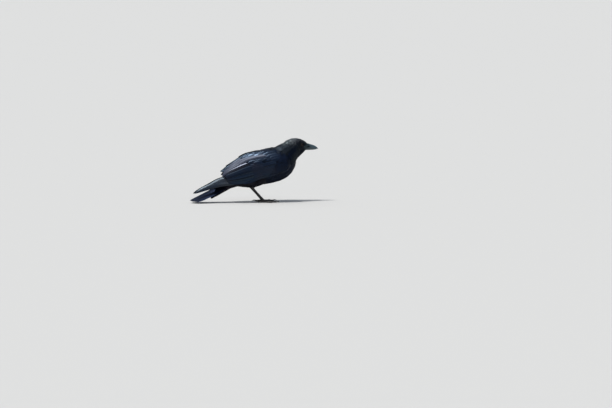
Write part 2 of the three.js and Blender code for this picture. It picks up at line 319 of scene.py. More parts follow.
def speckle(tree, spot, scale, detail):
    """Soft noise, finer where scale is higher."""
    return add(tree, "ShaderNodeTexNoise", {"Vector": spot, "Scale": scale, "Detail": detail}).outputs["Fac"]


def blended(tree, share, colour, other):
    """A colour that gives way to another one by a share."""
    inputs = {"Factor": share, "A": colour, "B": (*other, 1)}
    return add(tree, "ShaderNodeMix", inputs, data_type="RGBA").outputs["Result"]


def dress(tree, surface, colour, dull, height, strength, depth):
    """Gives a surface its colour, its roughness unless that is None, and its bumps."""
    bump = add(tree, "ShaderNodeBump", {"Height": height, "Strength": strength, "Distance": depth}).outputs[0]
    for socket, value in (("Base Color", colour), ("Roughness", dull), ("Normal", bump)):
        if value is not None:
            tree.links.new(value, surface.inputs[socket])


def colour_steps(tree, factor, steps):
    """A colour ramp through (place, colour) steps."""
    node = add(tree, "ShaderNodeValToRGB", {"Fac": factor})
    ramp_points = node.color_ramp.elements
    while len(ramp_points) < len(steps):
        ramp_points.new(0.5)
    for point, (place, colour) in zip(ramp_points, steps):
        point.position = place
        point.color = (*colour, 1)
    return node.outputs["Color"]


# A warm purple-brown: partly the plumage's own brownish tone, partly painted sheen for the purple tint of its
# gloss.
BROWN_AND_PURPLE_SHEEN = (0.0115, 0.0078, 0.0105)


def plumage(name, dark, light, rough, tint, gloss, barbs, slant=0.55, relief=0.2, tip=None):
    """Feather: fine barbs slanting from the shaft, each feather a little lighter or duller than the next.

    dark and light are its colours, rough, tint and gloss its shine, barbs and slant how many waves there are
    along it and how they lean, relief how deep they are and tip a paler colour painted towards its end as a
    highlight.
    """
    material, tree, surface = shader(name, IOR=1.56, Specular_IOR_Level=gloss, Specular_Tint=(*tint, 1))
    tone = add(tree, "ShaderNodeAttribute", attribute_name="tone").outputs["Fac"]
    vane = add(tree, "ShaderNodeSeparateXYZ", {0: add(tree, "ShaderNodeUVMap", uv_map="Vane").outputs[0]})
    across, along = vane.outputs[0], vane.outputs[1]
    spot = own_place(tree)
    # Barbs leave the shaft on both sides and slant towards the tip.
    away = maths(tree, "ABSOLUTE", maths(tree, "SUBTRACT", across, 0.5))
    slanted = maths(tree, "MULTIPLY_ADD", away, -slant, along)
    wave = maths(tree, "SINE", maths(tree, "MULTIPLY", slanted, barbs * math.tau))
    height = maths(tree, "MULTIPLY_ADD", speckle(tree, spot, 900.0, 2.0), 1.2, wave)
    mixed = maths(tree, "MULTIPLY_ADD", speckle(tree, spot, 55.0, 3.0), 0.5, tone)
    # A vane is a little lighter and rougher along its worn rim.
    worn = maths(tree, "MULTIPLY_ADD", spread(tree, away, 0.36, 0.5), 0.18, mixed)
    # Broad patches lean from blue towards a warm purple-brown: partly the feathers' own brownish tone, partly
    # painted sheen standing in for the purple tint of their gloss.
    brown_and_sheen_share = spread(tree, speckle(tree, spot, 17.0, 2.0), 0.5, 0.68, 0.0, 0.55)
    colour = blended(tree, brown_and_sheen_share, colour_steps(tree, worn, [(0.1, dark), (1.35, light)]), BROWN_AND_PURPLE_SHEEN)
    # Towards its end the vane turns to the tip colour, a painted highlight.
    if tip:
        colour = blended(tree, spread(tree, along, 0.74, 0.98), colour, tip)
    dull = spread(tree, worn, 0.2, 1.3, rough - 0.06, rough + 0.12)
    dress(tree, surface, colour, dull, height, relief, 0.2 * MM)
    return material


BLACK = (0.0014, 0.0018, 0.0030)
NAVY = (0.0027, 0.0060, 0.0175)
SOOT = (0.0050, 0.0054, 0.0068)
# Paler greys for the crown and nape: painted sheen, over and above their real stronger gloss.
PAINTED_SHEEN_SLATE = (0.019, 0.023, 0.025)
DUSK = (0.0040, 0.0050, 0.0076)
# Teal and slate blue for the bristles at the bill's base: a painted reflection of the sky, as on the bill.
PAINTED_REFLECTION_TEAL = (0.0080, 0.0170, 0.0220)
PAINTED_REFLECTION_SLATE = (0.024, 0.043, 0.053)
# The palest grey of the crown: painted sheen.
PAINTED_SHEEN_PEARL = (0.046, 0.051, 0.062)
# A pale blue-grey at the tertials' tips: a painted highlight.
PAINTED_TIP_HIGHLIGHT = (0.026, 0.028, 0.046)
BODY_FEATHER = plumage("body feather", BLACK, NAVY, 0.38, (0.5, 0.65, 1.0), gloss=0.18, barbs=45)
SOFT_FEATHER = plumage("soft feather", BLACK, SOOT, 0.58, (0.7, 0.7, 0.95), gloss=0.2, barbs=40)
HEAD_FEATHER = plumage("head feather", BLACK, DUSK, 0.42, (0.56, 0.75, 1.0), gloss=0.27, barbs=12)
# Crown and nape take paler base colours, painted sheen; the bristles take teal, a painted reflection.
CROWN_FEATHER = plumage("crown feather", PAINTED_SHEEN_SLATE, PAINTED_SHEEN_PEARL, 0.38, (0.85, 0.93, 1.0), gloss=0.95, barbs=12)
NAPE_FEATHER = plumage("nape feather", BLACK, PAINTED_SHEEN_SLATE, 0.4, (0.75, 0.9, 1.0), gloss=0.5, barbs=12)
BRISTLE_FEATHER = plumage("bristle", PAINTED_REFLECTION_TEAL, PAINTED_REFLECTION_SLATE, 0.36, (0.7, 0.95, 1.0), gloss=0.7, barbs=12)
COVERT_FEATHER = plumage(
    "covert feather", BLACK, NAVY, 0.29, (0.47, 0.68, 1.0), gloss=0.3, barbs=80, slant=0.3, relief=0.07
)
FLIGHT_FEATHER = plumage(
    "flight feather", BLACK, NAVY, 0.27, (0.5, 0.74, 1.0), gloss=0.36, barbs=200, slant=0.1, relief=0.06
)
POINT_FEATHER = plumage(
    "point feather", BLACK, NAVY, 0.37, (0.7, 0.86, 1.0), gloss=0.55, barbs=200, slant=0.1, relief=0.12
)
INNER_FEATHER = plumage(
    "inner feather", BLACK, NAVY, 0.4, (0.68, 0.77, 1.0), gloss=0.54, barbs=120, slant=0.15, relief=0.08,
    tip=PAINTED_TIP_HIGHLIGHT,
)
TAIL_FEATHER = plumage(
    "tail feather", BLACK, NAVY, 0.36, (0.3, 0.45, 1.0), gloss=0.13, barbs=200, slant=0.1, relief=0.06
)


def skin_finish():
    """Skin: dull and near black, as it is where it shows round the eyes."""
    material, tree, surface = shader("skin", Roughness=0.75, Specular_IOR_Level=0.3)
    noise = speckle(tree, own_place(tree), 800.0, 3.0)
    colour = colour_steps(tree, noise, [(0.3, (0.003, 0.003, 0.004)), (0.7, (0.009, 0.009, 0.011))])
    dress(tree, surface, colour, None, noise, 0.4, 0.4 * MM)
    return material


SKIN = skin_finish()

# ---------------------------------------------------------------- the body's layout

# The middle of the body from the bill's base to the undertail coverts: ahead and up.
SPINE = [
    (159, 184), (150, 185), (138, 187), (122, 189), (106, 184), (90, 171), (72, 152), (46, 133),
    (15, 122), (-20, 110), (-52, 93), (-82, 74), (-112, 56), (-142, 37), (-172, 17),
]
SPINE_LINE = at([p[0] for p in SPINE], 0, [p[1] for p in SPINE])
SPINE_PLACES = spline(SPINE_LINE, np.linspace(0, 1, 400))
SPINE_WAYS = unit(np.gradient(SPINE_PLACES, axis=0))
SPINE_GONE = np.concatenate([[0], np.cumsum(np.linalg.norm(np.diff(SPINE_PLACES, axis=0), axis=1))]) / MM

# By how far along the spine, in millimetres: a feather's length and the distance to the next one,
# each on the back, the side and the belly.
ALONG = [0, 15, 30, 45, 60, 80, 105, 135, 170, 210, 250, 300, 345, 381]
LENGTH = [
    [4, 4.5, 5, 6, 9, 13, 19, 24, 27, 28, 28, 32, 36, 36],
    [3.5, 3.5, 4.5, 7, 10, 14, 20, 25, 30, 34, 36, 36, 34, 30],
    [5, 6, 9, 13, 16, 18, 23, 29, 33, 36, 36, 34, 34, 30],
]
APART = [
    [1.05, 1.1, 1.2, 1.5, 2.0, 2.7, 3.8, 5.2, 6.0, 6.2, 6.2, 6.5, 6.5, 5.5],
    [1.0, 1.05, 1.2, 1.7, 2.1, 2.7, 3.4, 4.0, 4.6, 5.0, 5.0, 5.0, 4.8, 4.5],
    [1.15, 1.35, 1.7, 2.2, 2.7, 3.0, 3.6, 4.2, 4.6, 5.0, 5.0, 4.8, 4.6, 4.5],
]
TRIALS = 90000  # random places tried for the body's feathers
VARIANTS = 3  # shapes of each kind of feather
PATCH = 0.003  # how wide one feather's patch on the unwrap is


def coat_rise(length):
    """How far a feather's root lies under the coat's surface, from its length, in millimetres."""
    return np.minimum(2.8, 0.45 + 0.08 * length)


def along_body(places):
    """The nearest place on the spine, by its index, and how far round from the back, positive on the left."""
    nearest = np.empty(len(places), int)
    batch = 20000  # places compared at a time, to spare memory
    for start in range(0, len(places), batch):
        part = places[start : start + batch, None, 1:] - SPINE_PLACES[None, ::2, 1:]
        nearest[start : start + batch] = 2 * np.argmin((part**2).sum(axis=2), axis=1)
    off = places - SPINE_PLACES[nearest]
    ways = SPINE_WAYS[nearest]
    over = unit(np.cross(ways, [1.0, 0, 0]))
    over *= np.sign(over[:, 2:3])
    high = (off * over).sum(axis=1)
    return nearest, np.arctan2(off[:, 0], high)


def body_table(rows, gone, turn):
    """A value by place along and round the body, between its back, side and belly rows."""
    back, side, belly = (np.interp(gone, ALONG, row) for row in rows)
    c = np.cos(turn)
    low, high = np.clip(-c, 0, 1) ** 2, np.clip(c, 0, 1) ** 2
    return high * back + low * belly + (1 - high - low) * side


form_tree = tree_of(form)
store(form.data, "out", vertex_normals(form.data))
node_trees = {name: tree_of(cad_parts[name]) for name in FLESH}


def owner(place):
    """The CAD node whose surface is nearest."""
    return min(node_trees, key=lambda name: node_trees[name].find_nearest(Vector(place))[3])


def under_wing(place):
    """Whether a folded wing hides a place from the side."""
    side = 1 if place[0] > 0 else -1
    start, way = Vector(place) + Vector((side * MM, 0, 0)), Vector((side, 0, 0))
    wing = f"wing_{SIDE_NAMES[side]}"
    trees = (node_trees[wing + "_secondaries"], node_trees[wing + "_coverts"])
    return any(tree.ray_cast(start, way, 40 * MM)[0] is not None for tree in trees)


def scattered(mesh, count, apart, rng):
    """Random places on a mesh and the ways out, no nearer to each other than apart says."""
    mesh.calc_loop_triangles()
    corners = np.empty(len(mesh.loop_triangles) * 3, int)
    mesh.loop_triangles.foreach_get("vertices", corners)
    a, b, c = (coordinates(mesh)[corners.reshape(-1, 3)[:, k]] for k in range(3))
    cross = np.cross(b - a, c - a)
    area = np.linalg.norm(cross, axis=1)
    weight = area / apart((a + b + c) / 3) ** 2
    chosen = rng.choice(len(area), count, p=weight / weight.sum())
    u, v = rng.random((2, count, 1))
    fold = u + v > 1
    u, v = np.where(fold, 1 - u, u), np.where(fold, 1 - v, v)
    places = a[chosen] + u * (b - a)[chosen] + v * (c - a)[chosen]
    outs = unit(cross[chosen])
    distance = apart(places)
    cell = distance.max()
    grid = {}
    kept = []
    for i in range(count):
        x, y, z = places[i]
        key = (int(x // cell), int(y // cell), int(z // cell))
        near = (
            j
            for dx in (-1, 0, 1) for dy in (-1, 0, 1) for dz in (-1, 0, 1)
            for j in grid.get((key[0] + dx, key[1] + dy, key[2] + dz), ())
        )
        gaps = ((places[i] - places[j], distance[i] * distance[j]) for j in near)
        if all(np.dot(gap, gap) > least for gap, least in gaps):
            grid.setdefault(key, []).append(i)
            kept.append(i)
    return places[kept], outs[kept]


class Roots:
    """Where a coat's feathers grow: place, way it lies, size, shape, tone and place on the unwrap of each."""

    def __init__(self):
        self.rows = []

    def add(self, place, lie, out, width, length, depth, proud, shape, tone, spot):
        """Adds a root; proud is how high the feather's tip lies, depth how much lower its root is."""
        lie = lie - out * float(np.dot(lie, out))
        sizes = (width * MM, length * MM, depth * MM, proud * MM)
        self.rows.append((*place, *unit(lie), *out, *sizes, shape, tone, *spot))

    def piece(self, name):
        """The roots as loose points that carry what is known of each."""
        table = np.array(self.rows)
        made = solid(name, table[:, :3], [])
        ones, none = np.ones((len(table), 1)), np.zeros((len(table), 1))
        for key, values in {
            "lie": table[:, 3:6], "out": table[:, 6:9], "size": np.hstack([table[:, 9:11], ones]),
            "depth": table[:, 11], "proud": table[:, 12], "shape": table[:, 13].astype(np.int32),
            "tone": table[:, 14], "spot": np.hstack([table[:, 15:17], none]),
        }.items():
            store(made.data, key, values)
        return made


# ---------------------------------------------------------------- feather shapes


def capped(rings, around, outward=True):
    """The faces of a tube that is closed at both ends; its near end is turned outward if asked."""
    last = (rings - 1) * around
    near = range(around)[::-1] if outward else range(around)
    return tube(rings, around) + [tuple(near), tuple(range(last, last + around))]


CAMBER = 0.1  # how far a vane arches between its edges, by its length


def vane(outline, columns, thick=0.05, twist=0.0):
    """A closed vane of unit length: x across, y along, z its lift from 0 at the root to 1 at the tip.

    outline gives the half width at a share of the length; columns are the places across its top.
    """
    places, uvs = [], []
    for y, half in zip(np.linspace(0, 1, len(outline)), outline):
        arch = CAMBER * min(1, half * 2.6)
        for c in columns:
            places.append((c * half + twist * y * y, y, y + arch * (1 - c * c)))
            uvs.append((0.5 + 0.5 * c, y))
        # The last point of a ring is under its middle.
        places.append((twist * y * y, y, y + arch - thick))
        uvs.append((0.5, y))
    return places, capped(len(outline), len(columns) + 1), uvs


def strand(start, end, base, lift_start, lift_end, bend, rings=4, arch=0.0):
    """A narrow closed barb clump from start to end, tapering to a point."""
    places, uvs = [], []
    start, end = np.array(start, float), np.array(end, float)
    way = end - start
    side = np.array([-way[1], way[0]]) / np.hypot(*way)
    for t in np.arange(rings) / (rings - 1):
        half = base * (1 - 0.93 * t**1.6)
        middle = start + way * t + side * bend * t * t
        lift = lift_start + (lift_end - lift_start) * t + arch * math.sin(math.pi * t)
        for c, up in ((-1, 0.0), (0, 0.05), (1, 0.0)):
            x, y = middle + side * -c * half
            places.append((x, y, lift + up))
            uvs.append((0.5 + 0.4 * c, min(1.0, 0.3 + 0.7 * t)))
    return places, capped(rings, 3), uvs


def contour(k, rng):
    """A neat round-tipped feather of the back, shoulders and small wing coverts."""
    blunt, slant = ((0.5, 0.0), (0.42, 0.03), (0.46, -0.03))[k]
    y = np.linspace(0, 1, 8)
    rounded = np.sqrt(np.clip(1 - ((y - 0.45) / 0.56).clip(0) ** (2 + 2 * blunt), 0.012, 1))
    half = 0.5 * np.sin(np.pi * np.clip(y * 0.72 + 0.1, 0, 1)) ** 0.7 * rounded
    return [vane(half, (-1, -0.5, 0, 0.5, 1), twist=slant)]


def loose(k, rng):
    """A soft feather of the breast, belly and flanks: a vane that frays into barb clumps at its rim."""
    reach = 0.72  # of the whole vane, along its length
    half = 0.42 * np.sin(np.pi * (0.12 + 0.62 * np.linspace(0, reach, 5))) ** 0.8
    places, faces, uvs = vane(half, (-1, 0, 1))
    parts = [([(x, y * reach, z * reach) for x, y, z in places], faces, uvs)]
    for finger in np.linspace(-1, 1, 9):
        swing = finger + rng.uniform(-0.08, 0.08)
        long = 1 - 0.22 * abs(swing) ** 1.8 + rng.uniform(-0.06, 0.05)
        start = (0.26 * swing, 0.42 + 0.06 * (1 - abs(swing)))
        end = (0.44 * swing + rng.uniform(-0.03, 0.03), long)
        parts.append(strand(start, end, 0.062, 0.5, 0.97 + 0.08 * rng.random(), rng.uniform(-0.03, 0.03)))
    return parts


def fine(k, rng):
    """A tiny velvety feather of the head: five barb clumps from one root."""
    parts = []
    for finger in np.linspace(-1, 1, 5):
        swing = finger + rng.uniform(-0.12, 0.12)
        end = (0.42 * swing, 1 - 0.2 * abs(swing) ** 1.5 + rng.uniform(-0.07, 0.05))
        high, bend = 0.95 + 0.12 * rng.random(), rng.uniform(-0.04, 0.04)
        parts.append(strand((0.16 * swing, 0.0), end, 0.12, 0.0, high, bend, 3))
    return parts


def hackle(k, rng):
    """A pointed, lance-like feather of the throat and neck."""
    y = np.linspace(0, 1, 6)
    half = 0.3 * np.sin(np.pi * (0.15 + 0.6 * y)) * (1 - 0.8 * y**2.2)
    parts = [vane(half, (-1, 0, 1), thick=0.06, twist=rng.uniform(-0.05, 0.05))]
    for finger in (-1, -0.5, 0.5, 1):
        end = (0.36 * finger + rng.uniform(-0.03, 0.03), 0.86 + rng.uniform(-0.08, 0.06))
        high, bend = 0.9 + 0.1 * rng.random(), rng.uniform(-0.03, 0.03)
        parts.append(strand((0.14 * finger, 0.2), end, 0.07, 0.25, high, bend))
    return parts


def bristle(k, rng):
    """Stiff bristles of the bill's base, five from one root."""
    parts = []
    for finger in (-1, -0.5, 0, 0.5, 1):
        end = (0.45 * finger + rng.uniform(-0.1, 0.1), 1 - 0.12 * abs(finger) + rng.uniform(-0.1, 0.03))
        start = (0.3 * finger, 0.04 * rng.random())
        high, bend = 0.5 + 0.2 * rng.random(), rng.uniform(-0.06, 0.06)
        parts.append(strand(start, end, 0.05, 0.0, high, bend, 6, 0.45))
    return parts


def feather_family(shape, seed):
    """One kind's feather shapes, kept in a collection of their own, out of the scene.

    shape gives the parts of its k-th one. Each is flat in x and y, with its lift in an attribute and its
    sides kept sharp.
    """
    rng = np.random.default_rng(seed)
    family = bpy.data.collections.new(shape.__name__)
    for k in range(VARIANTS):
        places, faces, uvs = joined(shape(k, rng))
        made = solid(f"shape_{shape.__name__}_{k}", [(x, y, 0) for x, y, _ in places], faces)
        mesh = made.data
        store(mesh, "lift", [float(z) for _, _, z in places])
        corners = np.empty(len(mesh.loops), int)
        mesh.loops.foreach_get("vertex_index", corners)
        mesh.uv_layers.new(name="Vane").data.foreach_set("uv", np.array(uvs)[corners].ravel())
        sharp_edges(mesh, 60)
        bpy.context.scene.collection.objects.unlink(made)
        family.objects.link(made)
    return family


CONTOUR, LOOSE, FINE, HACKLE, BRISTLE = (
    feather_family(shape, SEED + seed)
    for shape, seed in ((contour, 0), (loose, 0), (fine, 1), (hackle, 2), (bristle, 3))
)


def coat_tree():
    """Grows a shape at each root, lays it on the body's form and gives it its place on the unwrap."""
    tree = bpy.data.node_groups.new("coat", "GeometryNodeTree")
    kinds = {"Roots": "Geometry", "Shapes": "Collection", "Form": "Object", "Finish": "Material"}
    for name, kind in {**kinds, "Patch": "Float"}.items():
        tree.interface.new_socket(name, in_out="INPUT", socket_type="NodeSocket" + kind)
    tree.interface.new_socket("Coat", in_out="OUTPUT", socket_type="NodeSocketGeometry")
    given = add(tree, "NodeGroupInput").outputs

    def named(name, kind="FLOAT"):
        node = add(tree, "GeometryNodeInputNamedAttribute", {"Name": name}, data_type=kind)
        return node.outputs["Attribute"]

    def vector(name):
        return named(name, "FLOAT_VECTOR")

    def first(kind, inputs, **settings):
        return add(tree, kind, inputs, **settings).outputs[0]

    shapes = first(
        "GeometryNodeCollectionInfo",
        {"Collection": given["Shapes"], "Separate Children": True, "Reset Children": True},
    )
    upright = first("FunctionNodeAlignRotationToVector", {"Vector": vector("out")}, axis="Z")
    turned = first(
        "FunctionNodeAlignRotationToVector", {"Rotation": upright, "Vector": vector("lie")},
        axis="Y", pivot_axis="Z",
    )
    grown = first(
        "GeometryNodeInstanceOnPoints",
        {
            "Points": given["Roots"], "Instance": shapes, "Pick Instance": True,
            "Instance Index": named("shape", "INT"), "Rotation": turned, "Scale": vector("size"),
        },
    )
    real = first("GeometryNodeRealizeInstances", {"Geometry": grown})
    guide = add(tree, "GeometryNodeObjectInfo", {"Object": given["Form"]}, transform_space="RELATIVE")

    def on_form(value):
        inputs = {"Mesh": guide.outputs["Geometry"], "Value": value}
        node = add(tree, "GeometryNodeSampleNearestSurface", inputs, data_type="FLOAT_VECTOR")
        return node.outputs["Value"]

    foot = on_form(add(tree, "GeometryNodeInputPosition").outputs[0])
    under = maths(tree, "SUBTRACT", named("lift"), 1.0)
    height = maths(tree, "MULTIPLY_ADD", under, named("depth"), named("proud"))
    place = vectors(tree, "ADD", foot, vectors(tree, "SCALE", on_form(vector("out")), Scale=height))
    laid = first("GeometryNodeSetPosition", {"Geometry": real, "Position": place})
    spot = vectors(tree, "ADD", vector("spot"), vectors(tree, "SCALE", vector("Vane"), Scale=given["Patch"]))
    mapped = first(
        "GeometryNodeStoreNamedAttribute", {"Geometry": laid, "Name": "OFBake", "Value": spot},
        data_type="FLOAT2", domain="CORNER",
    )
    finished = first("GeometryNodeSetMaterial", {"Geometry": mapped, "Material": given["Finish"]})
    add(tree, "NodeGroupOutput", {"Coat": finished})
    return tree


COAT = coat_tree()
KEPT_DATA = {"position", "tone", "Vane", "OFBake", "sharp_face", "sharp_edge", "material_index"}


def grow(name, roots, family, finish, guide):
    """One coat piece, as a plain mesh, from its roots."""
    piece = roots.piece(name + "_roots")
    growth = piece.modifiers.new("grow", "NODES")
    growth.node_group = COAT
    values = {"Shapes": family, "Form": guide, "Finish": finish, "Patch": PATCH}
    for item in COAT.interface.items_tree:
        if item.in_out == "INPUT" and item.name in values:
            growth[item.identifier] = values[item.name]
    made = evaluated(piece, name)
    mesh = made.data
    for extra in [a.name for a in mesh.attributes if a.name not in KEPT_DATA and not a.name.startswith(".")]:
        mesh.attributes.remove(mesh.attributes[extra])
    mesh.materials.clear()
    mesh.materials.append(finish)
    return made


# ---------------------------------------------------------------- skin


def averaged(mesh, values, rounds):
    """Values at a mesh's points, each evened out with its neighbours'."""
    one, other = edge_ends(mesh)
    itself = np.arange(len(values))
    start, end = np.concatenate([one, other, itself]), np.concatenate([other, one, itself])
    count = np.bincount(start)[:, None]
    for _ in range(rounds):
        values = np.stack([np.bincount(start, values[end, k]) for k in range(values.shape[1])], 1) / count
    return values


THIN_SHARE = 0.43  # how much of a thin part's thickness the skin may draw in from each side


def shrunk(piece, name, depth):
    """A copy of a closed shape pulled in by a depth, or by a share of its thickness where that is less."""
    mesh = piece.data.copy()
    mesh.name = name
    places, outs = coordinates(mesh), vertex_normals(mesh)
    depths = depth(places)
    blades = np.zeros(len(places))
    for i, (place, out) in enumerate(zip(places, outs)):
        way = -Vector(out)
        hit, _, _, distance = form_tree.ray_cast(Vector(place) + way * (0.2 * MM), way, 22 * MM)
        if hit is not None:
            depths[i] = min(depths[i], THIN_SHARE * distance)
            blades[i] = distance < 12 * MM
    # Behind the wing's flesh there are only feathers, so the skin draws back from the blade's edges.
    behind = ahead_of(places)
    blades *= (1 - ramp(behind, -40, 0)) * (np.abs(places[:, 0]) > 3 * MM) * (places[:, 2] > 58 * MM)
    middle = np.interp(behind, [-150, -120, -90, -55, 0], [82, 90, 100, 112, 128]) * MM
    inward = -1.6 * MM * blades * np.sign(places[:, 0])
    forward = -0.3 * blades * (places[:, 1] - at(-30, 0, 0)[1])
    drawn = np.stack([inward, forward, 0.25 * blades * (middle - places[:, 2])], 1)
    moves = averaged(mesh, drawn - outs * (depths * (1 + 0.1 * blades))[:, None], 6)
    set_coordinates(mesh, places + moves)
    return shown(name, mesh)


def coat_depth(places):
    """How far the skin lies under the tips of the coat."""
    nearest, turn = along_body(places)
    return (coat_rise(body_table(LENGTH, SPINE_GONE[nearest], turn)) + 0.15) * MM


EYE = {"ahead": 129.5, "side": 12.1, "up": 190.5, "radius": 6.6}


def eye_axis(side):
    """The way an eye looks: outwards and a little ahead and up."""
    return unit(np.array([side * 1.0, -0.22, 0.05]))


def eye_centre(side):
    """The middle of an eyeball."""
    return at(EYE["ahead"], side * EYE["side"], EYE["up"])


def lids(side):
    """The bare rim round an eye: a soft roll at its edge, then folds that sink under the feathers."""
    around = 96
    turn = np.linspace(0, math.tau, around, endpoint=False)
    axis = eye_axis(side)
    fore = unit(np.cross(np.cross(axis, [0, -1.0, 0]), axis))
    over = np.cross(fore, axis) * side
    corner = np.cos(turn) ** 2 * np.where(np.cos(turn) > 0, 1.3, 0.8)
    opening = math.radians(36.5) + math.radians(4.5) * corner
    # Each step: degrees out from the opening, and distance from the eye's centre in millimetres.
    profile = [
        (4, 6.45), (0.8, 6.6), (-0.1, 6.7), (0.3, 6.84), (1.4, 6.9), (2.6, 6.84), (3.4, 6.79), (4.4, 6.86),
        (6, 6.9), (8, 6.86), (12, 6.74), (20, 6.4), (32, 5.7), (30, 5.2), (8, 5.4),
    ]
    places = []
    for k, (degrees, reach) in enumerate(profile):
        wrinkle = 0.05 * np.sin(23 * turn + k) * np.sin(11 * turn) * (3 < k < 12)
        polar = opening + math.radians(degrees)
        way = np.cos(polar)[:, None] * axis + np.sin(polar)[:, None] * (
            np.cos(turn)[:, None] * fore + np.sin(turn)[:, None] * over
        )
        places.append(eye_centre(side) + way * ((reach + wrinkle) * MM)[:, None])
    # The last ring is joined to the first, so that the rim is closed.
    faces = [tuple(i % (len(profile) * around) for i in face) for face in tube(len(profile) + 1, around)]
    return np.concatenate(places).tolist(), faces


def joined_to(piece, parts):
    """Adds closed shapes to a piece's mesh."""
    with opened(piece.data) as work:
        for places, faces in parts:
            corners = [work.verts.new(place) for place in places]
            made = [work.faces.new([corners[i] for i in face]) for face in faces]
            bmesh.ops.recalc_face_normals(work, faces=made)
            for face in made:
                face.smooth = True


skin = shrunk(form, "skin", coat_depth)
relax(skin.data, 4, lambda places: np.ones(len(places)))
skin.data.attributes.remove(skin.data.attributes["out"])
joined_to(skin, [lids(side) for side in SIDES.values()])
skin.data.materials.append(SKIN)
place_piece(skin, "plumage", *FLESH)

# ---------------------------------------------------------------- flight feathers

# The folded wing's lower and upper edges, each ahead, side and up, then its bulge and thickness.
# HAND is the wing's point, in the same way.
WING = [
    ((86, 35, 121), (84, 32, 149), 2, 3.5), ((75, 39.5, 108), (71, 33.5, 165), 6, 7),
    ((50, 42, 99), (46, 30, 174), 8, 8), ((15, 43, 90), (10, 27, 171), 8.5, 8),
    ((-20, 42, 80), (-26, 18, 167), 8.5, 8), ((-55, 39, 70), (-62, 9, 157), 8.5, 8),
    ((-90, 35, 65), (-97, 5.5, 136), 8, 7), ((-115, 31, 66), (-124, 4.6, 117), 6, 5),
    ((-129, 28, 68), (-149, 5, 97), 3, 2.4),
]
HAND = [
    ((-78, 33, 66), (-80, 27, 104), 1, 6), ((-110, 33, 61), (-112, 20, 97), 3, 5.5),
    ((-142, 30, 57), (-149, 15.5, 85), 3, 5), ((-174, 26.5, 48.5), (-182, 12.5, 67.5), 2.5, 4),
    ((-205, 22.5, 39.5), (-213, 11.5, 54), 1.5, 3), ((-230, 19, 28.5), (-241, 13.5, 42), 0.5, 1.4),
]
LEFT_DROP = 3  # the left wing's point ends this much lower than the right one's, in millimetres
TAIL_ROOT = at(-84, 0, 90)
TAIL_RUN = at(-246, 0, 7.5) - TAIL_ROOT
TAIL_ROLL = math.radians(30)  # how far its root turns its right edge down
END_ROLL = math.radians(7)  # and its end


def folded(stations, side, t, v):
    """Places on a folded wing's middle, the ways out, its height from edge to edge and its half thickness."""
    lower = spline(np.array([at(s[0][0], side * s[0][1], s[0][2]) for s in stations]), t)
    upper = spline(np.array([at(s[1][0], side * s[1][1], s[1][2]) for s in stations]), t)
    full = spline(np.array([s[2:] for s in stations]) * MM, t)
    rise = upper - lower
    out = unit(np.stack([side * rise[..., 2], 0 * rise[..., 0], -side * rise[..., 0]], axis=-1))
    swell = full[..., :1] * np.sin(np.pi * np.clip(v, 0, 1))[..., None]
    half = 0.5 * full[..., 1] * (0.35 + 0.65 * np.sin(np.pi * np.clip(v, 0, 1)))
    return lower + rise * np.asarray(v)[..., None] + out * swell, out, np.linalg.norm(rise, axis=-1), half


def tail_place(t, off):
    """Places on the folded tail, t from root to end and off from -1 on its right to 1, and the ways out."""
    place = t * (1 - 0.115 * off * off)
    half = (18 + 15 * place**0.8) * MM
    sag = ((12 - 6 * place) * np.abs(off) ** 1.5 + 2.5 * np.sin(np.pi * place)) * MM
    turn = TAIL_ROLL - (TAIL_ROLL - END_ROLL) * place
    c, s = np.cos(turn), np.sin(turn)
    axis = unit(TAIL_RUN)
    across = np.array([1.0, 0, 0])
    over = np.cross(axis, across)
    over = over * np.sign(over[2])
    wide, high = off * half, -sag * over[2]
    x = wide * c - high * s
    z = wide * s + high * c
    spots = TAIL_ROOT + TAIL_RUN * np.asarray(place)[..., None] + x[..., None] * across + z[..., None] * over
    slope = np.sign(off) * 1.5 * (12 - 6 * place) * MM * np.abs(off) ** 0.5 / half
    out_x, out_z = slope * c - s, c + slope * s
    return spots, unit(out_x[..., None] * across + out_z[..., None] * over), half


ACROSS = np.array([-1, -0.82, -0.5, -0.08, 0, 0.08, 0.5, 0.82, 1])


